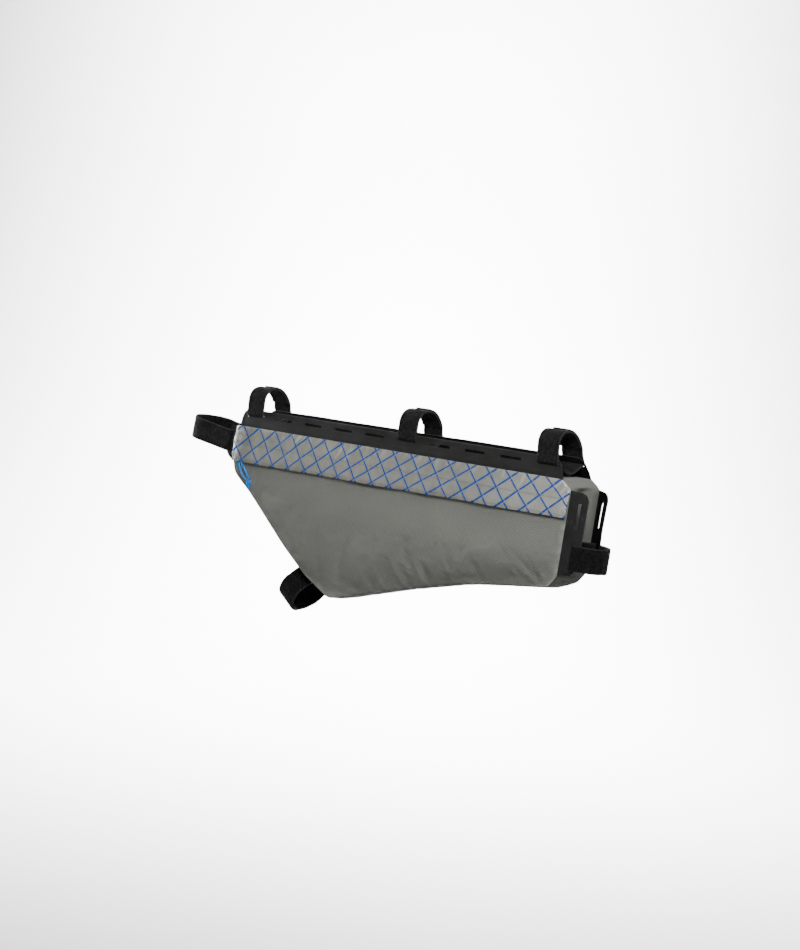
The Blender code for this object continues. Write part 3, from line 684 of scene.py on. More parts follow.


# Soft folds of the panels, worked out from the photograph. Along and down place the
# middle as shares of the bag, turn is in degrees, the rest in millimetres.
FOLDS = (
    # along, down, turn, length, width, rise
    (0.30, 0.62, 38, 75, 17, 0.5),
    (0.37, 0.78, 52, 53, 14, -0.5),
    (0.45, 0.80, 118, 30, 14, 0.4),
    (0.60, 0.70, 112, 26, 14, -0.5),
    (0.72, 0.60, 108, 32, 14, 0.5),
    (0.86, 0.50, 128, 42, 16, -0.6),
    (0.400, 0.915, 60, 30, 4.2, 1.1),
    (0.375, 0.880, 72, 26, 3.6, -1.0),
    (0.425, 0.900, 40, 34, 4.0, -0.9),
    (0.440, 0.850, 48, 28, 4.0, 0.8),
    (0.480, 0.845, 124, 16, 4.5, -0.8),
    (0.505, 0.810, 122, 16, 4.2, 0.9),
    (0.560, 0.750, 128, 17, 4.6, 1.1),
    (0.585, 0.765, 130, 15, 4.0, -0.8),
    (0.620, 0.715, 126, 15, 4.2, 1.1),
    (0.645, 0.715, 128, 14, 3.8, -0.8),
    (0.700, 0.655, 118, 18, 4.0, 0.6),
    (0.780, 0.645, 122, 13, 4.4, -0.6),
    (0.800, 0.650, 120, 12, 4.0, 0.6),
    (0.880, 0.600, 132, 14, 3.6, 0.7),
    (0.930, 0.585, 142, 22, 3.2, -1.0),
    (0.945, 0.560, 128, 20, 3.0, 1.1),
    (0.962, 0.540, 112, 16, 2.6, -0.9),
    (0.060, 0.360, 100, 30, 6.0, -1.1),
    (0.085, 0.400, 112, 34, 5.5, 1.1),
    (0.110, 0.440, 118, 30, 5.0, -0.9),
    (0.150, 0.560, 128, 36, 6.0, 0.8),
    (0.215, 0.690, 132, 30, 5.5, -0.9),
    (0.240, 0.700, 126, 32, 5.0, 0.8),
    (0.300, 0.830, 118, 30, 5.0, 0.8),
    (0.330, 0.880, 104, 26, 4.2, -0.9),
    (0.200, 0.420, 30, 50, 12, 0.6),
    (0.520, 0.560, 18, 90, 16, 0.6),
    (0.700, 0.420, 12, 100, 16, -0.6),
    (0.975, 0.380, 96, 30, 4.2, -0.9),
    (0.960, 0.330, 84, 28, 5.0, 0.8),
)
FOLD_DEPTH = 1.25


def fold_height(x, z, side):
    """The folds' height at points of a panel. The far panel has them a little further back."""
    total = np.zeros_like(x)
    for along, down, turn, length, width, rise in FOLDS:
        middle = place_xz(along if side < 0 else min(along + 0.035, 0.97), down)
        run, lift = math.cos(math.radians(turn)), math.sin(math.radians(turn))
        dx, dz = x - middle.x, z - middle.y
        u = (dx * run + dz * lift) * 1000 / length
        v = (run * dz - lift * dx + 0.0012 * np.sin(60 * dx + 9)) * 1000 / width
        total += rise / 1000 * np.exp(-u * u - v * v)
    return total


def flap_depth(x):
    first, last = CORNERS["top front"].x, CORNERS["top rear"].x
    return FLAP_FRONT + (FLAP_REAR - FLAP_FRONT) * (x - first) / (last - first)


def gusset_bulge(station, normal):
    """How far the gusset stands out from its rim: full at the belly, dented behind the rear bar."""
    rear = smoothstep(normal[0], 0.75, 0.95)
    belly = smoothstep(-normal[1], 0.5, 0.9) * smoothstep(normal[0], -0.36, -0.16) * (1 - rear)
    top = smoothstep(normal[1], 0.8, 1.0)
    channel = (1 + math.cos(PI * min(abs(station) / 0.85, 1))) / 2
    dent = REAR_BAR + 3 * GAP + STRAP_THICKNESS - REAR_BAR_REACH
    return (1 - station**2) * (0.0020 * belly + 0.0006 * top) - dent * rear * channel


def gusset_rings(rim, reach):
    """The gusset's vertices, UVs and worn rim with its painted highlight, as ROUND - 1 rings between the two
    panels.
    """
    before, after = rim - np.roll(rim, 1, axis=0), np.roll(rim, -1, axis=0) - rim
    steps = np.linalg.norm(after, axis=1)
    tangent = before / np.linalg.norm(before, axis=1)[:, None] + after / steps[:, None]
    normal = np.stack([-tangent[:, 1], tangent[:, 0]], axis=1)
    normal /= np.linalg.norm(normal, axis=1)[:, None]
    run = np.r_[0.0, np.cumsum(steps)][:-1]
    # The gusset's lower rear rim: worn, and painted pale as a highlight.
    rim_highlight_and_wear = smoothstep(rim[:, 0], 0.150, 0.195) * smoothstep(-rim[:, 1], 0.045, 0.060)
    for k in range(1, ROUND):
        t = (2 * k / ROUND - 1) * 0.65 - math.cos(PI * k / ROUND) * 0.35
        place = rim + normal * np.array([gusset_bulge(t, n) for n in normal])[:, None]
        verts = np.stack([place[:, 0], t * reach, place[:, 1]], axis=1)
        uv = np.stack([run * 0.9 + 1.0, np.full(len(rim), t * FACE)], axis=1)
        yield verts, uv, 0.8 * hump(abs(t), 1, 0.05) * rim_highlight_and_wear


def build_body():
    """The body's cloth as one closed mesh, and the vertices of its seams."""
    patch = panel_patch()
    rows, columns = patch.shape[:2]
    x, z = patch[..., 0], patch[..., 1]
    along, down = np.linspace(0, 1, columns)[None, :], np.linspace(0, 1, rows)[:, None]
    u, v = np.abs(2 * along - 1), np.abs(2 * down - 1)
    below = -BAG_DROP - flap_depth(x) - FLAP_LIFT - z
    crown = 0.0043 * smoothstep(below / 0.045)
    # The strip along the rear seam: worn, and painted pale as a highlight.
    rear_highlight_and_wear = hump(along, 1, 0.012) * smoothstep(-z, 0.066, 0.072)
    tuck = 0.0068 * smoothstep(down, 0.62, 1.0) ** 1.6 * (1 - u**8)
    verts, uv, painted_highlight_and_wear = [], [], []
    for side in (-1, 1):
        folds = FOLD_DEPTH * fold_height(x, z, side) * smoothstep(below, 0.0, 0.010)
        y = side * (FACE + (1 - u**6) * (1 - v**5) * (crown + folds) - tuck)
        verts.append(np.stack([x, y, z], axis=-1).reshape(-1, 3))
        uv.append(np.stack([x, z], axis=-1).reshape(-1, 2))
        painted_highlight_and_wear.append(rear_highlight_and_wear.ravel())
    size = rows * columns
    loop = [*range(columns)]
    loop += [i * columns + columns - 1 for i in range(1, rows)]
    loop += [(rows - 1) * columns + j for j in range(columns - 2, -1, -1)]
    loop += [i * columns for i in range(rows - 2, 0, -1)]
    for ring in gusset_rings(verts[0][loop][:, [0, 2]], -verts[0][loop][:, 1]):
        for made, values in zip((verts, uv, painted_highlight_and_wear), ring):
            made.append(values)
    faces = grid_faces(rows, columns, 0, flip=True) + grid_faces(rows, columns, size)
    count = len(loop)
    strips = [loop] + [[2 * size + k * count + i for i in range(count)] for k in range(ROUND - 1)]
    strips += [[size + i for i in loop]]
    for first, second in zip(strips, strips[1:]):
        for i in range(count):
            k = (i + 1) % count
            faces.append((first[i], first[k], second[k], second[i]))
    body = mesh_object("bag_cloth", np.concatenate(verts), faces, np.concatenate(uv))
    outward(body)
    add_values(body, "painted_highlight_and_wear", np.concatenate(painted_highlight_and_wear))
    return body, loop + strips[-1]


def crease_seams(obj, seams, sharpness):
    """Creases the edges that join two seam vertices of the same side."""
    pairs = np.empty(len(obj.data.edges) * 2, np.int32)
    obj.data.edges.foreach_get("vertices", pairs)
    on = np.zeros(len(obj.data.vertices), bool)
    on[seams] = True
    add_values(obj, "crease_edge", on[pairs.reshape(-1, 2)].all(axis=1) * sharpness, "EDGE")


def settle(obj, held, frames, cap):
    """A short cloth simulation: a little air and slack cloth between held seams, then applied."""
    start = vertex_vectors(obj.data)
    group = obj.vertex_groups.new(name="held")
    for i, weight in enumerate(held):
        if weight > 0.01:
            group.add([i], float(weight), "REPLACE")
    cloth = obj.modifiers.new("settle", "CLOTH")
    configured(
        cloth.settings, quality=6, mass=0.15, tension_stiffness=40, compression_stiffness=40,
        shear_stiffness=12, bending_stiffness=0.6, tension_damping=15, compression_damping=15,
        vertex_group_mass="held", pin_stiffness=1.0, shrink_min=-0.005, use_pressure=True,
        uniform_pressure_force=1.2,
    )
    cloth.settings.effector_weights.gravity = 0.0
    cloth.collision_settings.use_collision = False
    scene = bpy.context.scene
    for step in range(1, frames + 1):
        scene.frame_set(step)
    evaluated = obj.evaluated_get(bpy.context.evaluated_depsgraph_get())
    move = vertex_vectors(evaluated.to_mesh()) - start
    evaluated.to_mesh_clear()
    obj.modifiers.remove(cloth)
    scene.frame_set(1)
    far = np.linalg.norm(move, axis=1)
    move *= (cap * np.tanh(far / cap) / np.maximum(far, 1e-9))[:, None]
    obj.data.vertices.foreach_set("co", (start + move).ravel())
    obj.data.update()


def mark_seam(body):
    """A dark line in the gusset, right beside the seam of the lower rear corner."""
    points = vertex_vectors(body.data)
    on_gusset = np.abs(vertex_vectors(body.data, "normal")[:, 1]) < 0.6
    line = hump(FACE - np.abs(points[:, 1]), 0.0012, 0.0008) * on_gusset
    line *= smoothstep(points[:, 0], 0.194, 0.200) * smoothstep(-points[:, 2], 0.112, 0.118)
    add_values(body, "seam", line)


def dress_body():
    body, seams = build_body()
    points = vertex_vectors(body.data)
    edge = [CORNERS[name] for name in (
        "nose", "slope high", "slope low", "keel", "tip", "belly front", "belly rear", "rear corner",
    )]
    bottom = np.interp(points[:, 0], [p.x for p in edge], [-p.y for p in edge])
    band_edge, middle = 0.069, 0.45
    low = band_edge + middle * (bottom - band_edge)
    held = 1 - smoothstep(-points[:, 2] - low, -0.030, 0.012)
    held[seams] = 1.0
    rear_face = (points[:, 0] > 0.200) & (np.abs(points[:, 1]) < FACE - 0.0005)
    held[rear_face] = 1.0
    settle(body, held, frames=14, cap=0.0032)
    crease_seams(body, seams, sharpness=0.75)
    configured(body.modifiers.new("soften", "SUBSURF"), levels=1, render_levels=1)
    apply_modifiers(body)
    mark_seam(body)
    finish_piece(body, "woven_cloth", "woven_cloth", "bag_shell")


dress_body()


# Band over the zip

def band_line(path, columns):
    """The path as columns + 1 points, closer together near the front, and how far along each lies."""
    line = np.array(path)
    near, bend = columns // 5, 0.024
    rest = np.linspace(bend, run_of(line)[-1], columns - near + 1)
    places = np.r_[np.linspace(0, bend, near + 1)[:-1], rest]
    return points_at(line, places), places


def band_path(z, lift):
    """(x, y) points of the band at height z, from its end on the front face to its rear end."""
    edge = front_x(z)
    path = [(edge - lift, -FRONT_BESIDE - FLANGE_THICKNESS / 2 - GAP)]
    radius = 0.0016
    for k in range(9):
        a = PI + PI / 2 * k / 8
        reach = radius + lift
        path.append((edge + radius + reach * math.cos(a), -FACE + radius + reach * math.sin(a)))
    path.append((rear_x(z) - 0.0015, -FACE - lift))
    return path


# Creases of the laminate, raised and with painted highlights, in millimetres: place along the band,
# depth below its top edge, half length, half width, shift along for each millimetre of depth, and strength.
STREAKS = [
    # x, depth, length, width, lean, strength
    (-252.8, 2.5, 6.5, 2.6, 0.10, 1.00),
    (-254.0, 18.0, 9.0, 1.8, 0.10, 1.00),
    (-251.5, 27.0, 7.0, 1.3, 0.20, 0.95),
    (-244.5, 7.0, 8.0, 0.7, 0.80, 0.35),
    (-240.0, 16.0, 5.0, 0.8, -0.90, 0.30),
    (-155.0, 4.0, 6.5, 1.0, -0.86, 0.50),
    (-148.0, 5.0, 5.5, 0.7, -0.60, 0.35),
    (-92.0, 13.0, 7.0, 1.0, -0.67, 0.30),
    (-77.0, 12.0, 8.0, 1.1, -0.67, 0.32),
    (-30.0, 6.0, 6.0, 0.9, -0.70, 0.28),
    (22.0, 5.0, 5.0, 0.9, -0.80, 0.24),
    (61.0, 7.0, 6.0, 1.0, -0.60, 0.26),
    (96.0, 6.0, 6.0, 0.8, -0.75, 0.30),
    (133.5, 5.0, 5.0, 0.8, -0.20, 0.42),
    (158.5, 6.5, 7.0, 1.1, -0.45, 0.50),
    (167.0, 8.0, 7.0, 0.9, -0.60, 0.34),
    (190.0, 5.0, 6.0, 1.0, -0.95, 0.34),
    (202.0, 6.0, 7.0, 1.1, -1.10, 0.60),
    (208.0, 11.0, 6.0, 1.0, -0.90, 0.50),
    (209.0, 19.0, 5.0, 0.9, -0.25, 0.36),
    (210.3, 4.2, 4.6, 0.8, 1.30, 0.95),
]
for k in range(34):  # faint ones all along the band
    a, b, c, d = (0.5 + 0.5 * math.sin(12.9898 * (k + 1) * n + 4.1 * n) for n in (1.0, 1.7, 2.3, 3.1))
    STREAKS.append((-235 + 13.1 * k + 7 * a, 2 + 4 * b, 3 + 4 * c, 0.8, -0.9 + d, 0.16))
STITCH_ROWS = (0.50, 0.935)  # as shares of the band's depth
BAND_THICKNESS = 0.0009


def streak(x, depth):
    """How far a point of the band lies on a crease, from 0 to 1."""
    total = 0.0
    for along, down, length, width, lean, strength in STREAKS:
        v = (depth * 1000 - down) / length
        if abs(v) < 2:
            u = (x * 1000 - along - lean * (depth * 1000 - down)) / (width * (1.15 - 0.5 * v))
            total = max(total, strength * math.exp(-abs(u) ** 1.6 - v**4))
    return total


def near_front(run):
    """1 where the band bends round the front corner, 0 along the side."""
    return 1 - smoothstep(run, 0.009, 0.022)


def band_relief(x, y, z, run, share, depth):
    """How far the laminate waves and crumples out of its smooth course."""
    out = 0.00060 * wobble((x, 0, z), 0.020, 3.0) * share
    out += 0.00100 * wobble((x, 0, 0), 0.045, 8.0) * smoothstep(share, 0.55, 1.0)
    out += 0.00045 * wobble((x + 0.6 * depth, 0, 0), 0.0075, 5.0) * (1 - share) ** 2
    out += 0.00090 * wobble((x * 1.5, y * 1.5, z), 0.0060, 21.0) * near_front(run) * (0.4 + share)
    return out + 0.0020 * hump(run, 0.009, 0.006) * (1 - share) ** 0.7


def build_band():
    """The band as a curved sheet with its creases. Its outer points come back as rows."""
    rows, columns, slanted, ear = 42, 400, 90, 0.0034
    verts, uv, grid, painted_highlight_and_wear, painted_shine, needle = [], [], [], [], [], []
    middle_depth = (FLAP_FRONT + FLAP_REAR) / 2
    for i in range(rows + 1):
        share = i / rows
        z0 = -BAG_DROP - GAP - share * (middle_depth - GAP)
        base = GAP + FLAP_LIFT * smoothstep(share, 0.05, 0.92)
        line, steps = band_line(band_path(z0, base), columns)
        needle_row = sum(hump(share, row, 0.016) for row in STITCH_ROWS)
        for j, (x, y) in enumerate(line):
            run = steps[j]
            depth = flap_depth(x) * share
            z = -BAG_DROP - GAP - depth
            x += (front_x(z) - front_x(z0)) * max(0, 1 - j / slanted)
            x -= ear * (1 - smoothstep(run, 0.004, 0.022)) * (1 - smoothstep(share, 0.1, 1.0))
            ahead = line[min(j + 1, columns)] - line[max(j - 1, 0)]
            normal = np.array([ahead[1], -ahead[0]]) / np.linalg.norm(ahead)
            on = streak(x, depth) if run > 0.004 else 0.0
            out = band_relief(x, y, z, run, share, depth) + 0.00060 * on - 0.00025 * needle_row
            out = max(out * min(share / 0.03, 1), -base + 0.0001)
            sag = 0.0008 * wobble((x, 0, 0), 0.06, 4.0) * share
            verts.append((x + normal[0] * out, y + normal[1] * out, z + sag))
            uv.append((x if run > 0.006 else run - 0.008 - FRONT_REACH, depth))
            grid.append(grid_phases(uv[-1][0], depth))
            # Painted highlight round the front corner and at the rear end.
            painted_highlight_and_wear.append(max(0.6 * hump(j, columns, 4.0), 0.5 * near_front(run)))
            # Painted highlights on the creases, and a faint painted sheen towards the rear.
            painted_shine.append(max(on, 0.13 * smoothstep(x, 0.06, 0.18)))
            needle.append(min(needle_row, 1.0))
    band = mesh_object("band", verts, grid_faces(rows + 1, columns + 1), uv)
    add_uv(band.data, "grid", grid)
    for name, values in (("painted_highlight_and_wear", painted_highlight_and_wear), ("painted_shine", painted_shine), ("needle", needle)):
        add_values(band, name, values)
    configured(band.modifiers.new("thick", "SOLIDIFY"), thickness=BAND_THICKNESS, offset=1.0)
    apply_modifiers(band)
    outward(band)
    finish_piece(band, "ripstop_laminate", "ripstop_laminate", "zip_flap")
    return np.array(verts).reshape(rows + 1, columns + 1, 3)


BAND_POINTS = build_band()


# Zip under the band

def build_zip():
    """The zip's two tapes and its coil of teeth, and the slider in its plastic."""
    low, high = (Vector(p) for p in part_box("zip_tape"))
    length, half, middle = high.x - low.x, (high.z - low.z) / 2, (high.z + low.z) / 2
    columns = 180
    shape = ((-half, 0.0), (-half * 0.8, -0.0003), (-half * 0.28, -0.0003), (-half * 0.16, 0.0002))
    shape += tuple((-rise, out) for rise, out in reversed(shape))
    verts, uv = [], []
    for rise, out in shape:
        for k in range(columns + 1):
            x = low.x + length * k / columns
            verts.append((x, low.y + out - 0.0002, middle + rise))
            uv.append((x, rise))
    tape = mesh_object("zip_tape_weave", verts, grid_faces(len(shape), columns + 1), uv)
    configured(tape.modifiers.new("thick", "SOLIDIFY"), thickness=0.0005)
    apply_modifiers(tape)
    finish_piece(tape, "zip_tape_weave", "zip_plastic", "zip_tape")
    pitch, wire, reach, out, swing, sides = 0.0015, 0.00038, 0.0010, 0.0007, 0.0004, 8
    route = []
    for k in range(int(length / pitch) * sides):
        a = 2 * PI * k / sides
        y = low.y - out - swing * math.sin(a)
        route.append((low.x + pitch * k / sides, y, middle + reach * math.cos(a)))
    coil = mesh_object("zip_coil", *tube_mesh([route], wire, 6))
    outward(coil)
    finish_piece(coil, "zip_plastic", "zip_plastic", "zip_tape")
    wear_finish(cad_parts["zip_slider"], "zip_plastic")


build_zip()


# Sewing thread

def stitch_rows(name, lines, out, spacing=0.0030, length=0.0021, radius=0.00019):
    """Threads laid along lines, each a short capsule half sunk into the cloth."""
    routes = []
    sink = np.array([-0.00022, 0.0, 0.00008, 0.00008, 0.0, -0.00022])[:, None]
    for line in lines:
        for start in np.arange(spacing / 2, run_of(line)[-1] - length, spacing):
            places = start + length * np.array([0.0, 0.12, 0.35, 0.65, 0.88, 1.0])
            routes.append(points_at(line, places) + np.array([out]) * sink)
    made = mesh_object(name, *tube_mesh(routes, radius, 6, [0.25, 0.8, 1.0, 1.0, 0.8, 0.25]))
    finish_piece(made, "sewing_thread", "ripstop_laminate")


def band_row(share):
    """A line on the band's face at this share of its depth."""
    low, part = divmod(share * (len(BAND_POINTS) - 1), 1)
    line = BAND_POINTS[int(low)] * (1 - part) + BAND_POINTS[int(low) + 1] * part
    first, last, clear = 10, -2, 0.00002
    return line[first:last] - np.array([[0.0, BAND_THICKNESS + clear, 0.0]])


stitch_rows("band_stitches", [band_row(share) for share in STITCH_ROWS], (0, -1, 0))


# Flanges

def seat_frame(first, second, share):
    """A group's place and axes: X along an edge of the body, Y to the right, Z away from it."""
    a, b = CORNERS[first], CORNERS[second]
    place = a.lerp(b, share)
    run = (b - a).normalized()
    return Matrix((
        (run.x, 0, -run.y, place.x),
        (0, 1, 0, 0),
        (run.y, 0, run.x, place.y),
        (0, 0, 0, 1),
    ))


TOP_SEAT = Matrix.Translation((0, 0, -BAG_DROP))
REAR_SEAT = seat_frame("shoulder", "rear foot", 0.765)
FRONT_SEAT = seat_frame("nose", "top front", 0.47)
LOWER_SEAT = seat_frame("keel", "slope low", 0.10)
STAND_OFF = FLANGE_THICKNESS / 2 + GAP + STRAP_THICKNESS / 2


def loop_radius(bar):
    """The radius of a strap's middle layer round a bar."""
    return bar + GAP + STRAP_THICKNESS / 2


def flange_lean(bar, bar_reach):
    away = math.hypot(BESIDE, bar_reach)
    return math.acos((loop_radius(bar) - STAND_OFF) / away) - math.atan2(bar_reach, BESIDE)


TOP_LEAN = flange_lean(TOP_BAR, BAG_DROP)
REAR_LEAN = flange_lean(REAR_BAR, REAR_BAR_REACH)


def end_profile(base, width, shape):
    """A flange's end as a function of height, from (along, height) pairs in shares of its width."""
    alongs, heights = zip(*shape)
    return lambda y: float(np.interp(y, np.multiply(heights, width), base + np.multiply(alongs, width)))


def flange_columns(low_end, high_end, width, slots):
    """Where a flange's columns lie along it: at the slots' edges, and evenly between them."""
    cut, corner, margin, step = SLOT_LENGTH / 2, 0.0009, 0.0008, 0.0045
    heights = np.linspace(0, width, 9)
    first, last = max(map(low_end, heights)), min(map(high_end, heights))
    marks = {middle + x for middle in slots for x in (-cut, corner - cut, cut - corner, cut)}
    inner = sorted(m for m in marks if first + margin < m < last - margin)
    stops = [first + margin / 2, *inner, last - margin / 2]
    columns = []
    for a, b in zip(stops, stops[1:]):
        steps = max(1, round((b - a) / step))
        columns += [a + (b - a) * k / steps for k in range(steps)]
    return [*columns, stops[-1]]


def flange_rows(levels, columns, low_end, high_end, cells=4):
    """The places along a flange at each level: its columns, and cells out to its shaped ends."""
    rows = []
    for y in levels:
        low, high = low_end(y), high_end(y)
        left = [low + (columns[0] - low) * (k / cells) for k in range(cells)]
        right = [high + (columns[-1] - high) * (k / cells) for k in range(cells - 1, -1, -1)]
        rows.append(left + columns + right)
    return rows


def finish_flange(made, word, side, seat, lean, width):
    """Merges, thickens and rounds a flange's grid, and marks its free edge for a painted highlight and its
    inner face for painted shade.
    """
    bm = bmesh.new()
    bm.from_mesh(made.data)
    bmesh.ops.remove_doubles(bm, verts=bm.verts[:], dist=1e-5)
    bm.to_mesh(made.data)
    bm.free()
    thick = made.modifiers.new("thick", "SOLIDIFY")
    configured(thick, thickness=FLANGE_THICKNESS - 0.0003, offset=0.0, use_even_offset=True)
    edge = made.modifiers.new("edge", "BEVEL")
    configured(edge, width=0.00030, segments=2, limit_method="ANGLE", angle_limit=math.radians(40))
    apply_modifiers(made)
    outward(made)
    made.data.shade_smooth()
    back = seat.inverted()
    spot = vertex_vectors(made.data) @ np.array(back.to_3x3()).T + np.array(back.translation)
    # The free edge, for a painted highlight.
    add_values(made, "painted_highlight_and_wear", hump(spot[:, 2] / math.cos(lean), width, 0.00045))
    # The inner face, for painted shade.
    add_values(made, "inside", smoothstep(-side * vertex_vectors(made.data, "normal")[:, 1], 0.3, 0.7))
    finish_piece(made, "coated_fabric", "coated_fabric", word)


def build_flange(word, side, seat, beside, lean, width, low_shape, high_shape, slots, rise, wave):
    """A slotted flange, from a grid with its slots left open."""
    ends = [end_profile(place, width, shape) for place, shape in (low_shape, high_shape)]
    cut, half, foot = SLOT_LENGTH / 2, SLOT_WIDTH / 2, -0.0008
    top = rise + half
    levels = [foot, rise * 0.45, rise * 0.8, rise - half, rise, top]
    levels += [top + (width - top) * s for s in (0.3, 0.6, 0.82, 0.94, 1.0)]
    rows = flange_rows(levels, flange_columns(*ends, width, slots), *ends)
    verts = []
    for y, row in zip(levels, rows):
        for x in row:
            n = wave(x, max(y, 0.0) / width)
            out = side * (beside - y * math.sin(lean) + n * math.cos(lean))
            verts.append(seat @ Vector((x, out, y * math.cos(lean) + n * math.sin(lean))))
    xs = np.array(rows)
    middle_x = (xs[:-1, :-1] + xs[:-1, 1:] + xs[1:, :-1] + xs[1:, 1:]).ravel() / 4
    middle_y = np.repeat((np.array(levels[:-1]) + levels[1:]) / 2, xs.shape[1] - 1)
    faces = []
    for face, x, y in zip(grid_faces(*xs.shape), middle_x, middle_y):
        if abs(y - rise) >= half or all(abs(x - s) >= cut for s in slots):
            faces.append(face)
    uv = [(x, y) for y, row in zip(levels, rows) for x in row]
    finish_flange(mesh_object(f"{word}_skin", verts, faces, uv), word, side, seat, lean, width)


def top_wave(x, up):
    """How far the top flange's free edge leans out between the straps."""
    near = min(abs(x - strap) for strap in (-0.230, 0.0, 0.184))
    return up**1.5 * smoothstep(near, 0.014, 0.050) * (0.0011 + 0.0009 * wobble((x, 0, 0), 0.055, 6.0))


def rear_wave(x, up):
    return up * 0.0005 * math.sin(x / 0.016) * smoothstep(abs(x), 0.014, 0.03)


def front_wave(x, up):
    return 0.0


def build_flanges():
    """Each flange's ends are a place along and (along, height) pairs in shares of the width."""
    flanges = {
        "top": (
            TOP_SEAT, BESIDE, TOP_LEAN, 0.0208,
            (CORNERS["top front"].x, ((0.00, 0.0), (0.00, 0.50), (0.05, 0.76), (0.20, 0.93), (0.45, 1.0))),
            (CORNERS["top rear"].x, ((0.00, 0.0), (-0.10, 0.30), (-0.32, 0.72), (-0.52, 0.93), (-0.80, 1.0))),
            [(i - 5) * SLOT_PITCH for i in range(10)], TOP_RISE, top_wave,
        ),
        "rear": (
            REAR_SEAT, BESIDE, REAR_LEAN, 0.0185,
            (-0.042 - 0.95 * SLOT_LENGTH, ((0.0, 0.0), (0.03, 0.62), (0.16, 0.88), (0.45, 1.0))),
            (0.68 * SLOT_LENGTH, ((0.10, 0.0), (0.06, 0.35), (0.0, 0.66), (-0.25, 0.85), (-0.85, 1.0))),
            [0.0, -0.042], REAR_RISE, rear_wave,
        ),
        "front": (
            FRONT_SEAT, FRONT_BESIDE, 0.0, 0.0185,
            (-0.60 * SLOT_LENGTH, ((-0.40, 0.0), (-0.30, 0.40), (-0.14, 0.70), (0.02, 0.90), (0.25, 1.0))),
            (0.74 * SLOT_LENGTH, ((0.08, 0.0), (0.04, 0.60), (-0.10, 0.88), (-0.30, 1.0))),
            [0.0], FRONT_RISE, front_wave,
        ),
    }
    for place, settings in flanges.items():
        for side, word in ((-1, "left"), (1, "right")):
            build_flange(f"{place}_flange_{word}", side, *settings)


build_flanges()


# Straps

def tangent_way(start, centre, radius, side):
    ray = centre - start
    return Matrix.Rotation(side * math.asin(radius / ray.length), 2) @ ray.normalized()


def meeting(a, way_a, b, way_b):
    return a + way_a * (cross(b - a, way_b) / cross(way_a, way_b))


def slotted_loop(beside, lean, rise, bar_reach, radius):
    """The closed centreline of a strap through two slots and round a bar."""
    centre = Vector((0, bar_reach))
    slot = Vector((-beside + rise * math.sin(lean), rise * math.cos(lean)))
    outside = slot + Vector((-math.cos(lean), math.sin(lean))) * STAND_OFF
    outer_way = tangent_way(outside, centre, radius, 1)
    crest = meeting(outside, outer_way, Vector((0, bar_reach + radius)), Vector((1, 0)))
    clear = slot.y < bar_reach - radius
    inner_way = Vector((1, 0)) if clear else tangent_way(slot, centre, radius, -1)
    bend = meeting(outside, outer_way, slot, inner_way)
    corners = [(Vector((-crest.x, crest.y)), radius), (crest, radius), (bend, 0.0016)]
    if not clear:
        corners.append((meeting(slot, inner_way, Vector((0, 0)), Vector((0, 1))), radius))
    corners.append((Vector((-bend.x, bend.y)), 0.0016))
    points, _ = rounded(corners, math.radians(5), 0.004)
    return [p for i, p in enumerate(points) if (p - points[i - 1]).length > 1e-6]


def round_loop(bar_reach, radius, start_angle):
    angles = [start_angle - 2 * PI * k / 90 for k in range(90)]
    return [Vector((-radius * math.sin(a), bar_reach - radius * math.cos(a))) for a in angles]


def left_normals(points):
    normals = []
    for i, point in enumerate(points):
        before = (point - points[i - 1]).normalized()
        after = (points[(i + 1) % len(points)] - point).normalized()
        both = before + after
        normals.append(Vector((-both.y, both.x)).normalized())
    return normals


def course(loop):
    """A closed line's length, and a function from a distance to its point and outward normal."""
    normals = left_normals(loop)
    out = -math.copysign(1, sum(cross(loop[i - 1], loop[i]) for i in range(len(loop))))
    places = run_of(np.array([tuple(p) for p in (*loop, loop[0])]))

    def at(place):
        place %= places[-1]
        i = min(int(np.searchsorted(places, place, side="right")) - 1, len(loop) - 1)
        share = (place - places[i]) / (places[i + 1] - places[i])
        k = (i + 1) % len(loop)
        return loop[i].lerp(loop[k], share), (normals[i].lerp(normals[k], share) * out).normalized()

    return places[-1], at


def pile_fuzz(place, across, t, face, seed):
    """How far the brushed pile stands out at a point of a strap's face."""
    spot, body = (place, across, face * 0.01), 1.0 - smoothstep(abs(t), 0.86, 0.95)
    fine, broad = wobble(spot, 0.0011, seed), wobble(spot, 0.0032, seed + 4)
    return face * body * (0.00022 * fine + 0.00016 * broad)


# Round a strap's section, as shares of half its width and which face: outer, edge, inner, edge
TAPE_RING = (
    *((t, 1.0) for t in np.linspace(-1, 1, 15)), (1.0, 0.0),
    *((t, -1.0) for t in np.linspace(1, -1, 15)), (-1.0, 0.0),
)


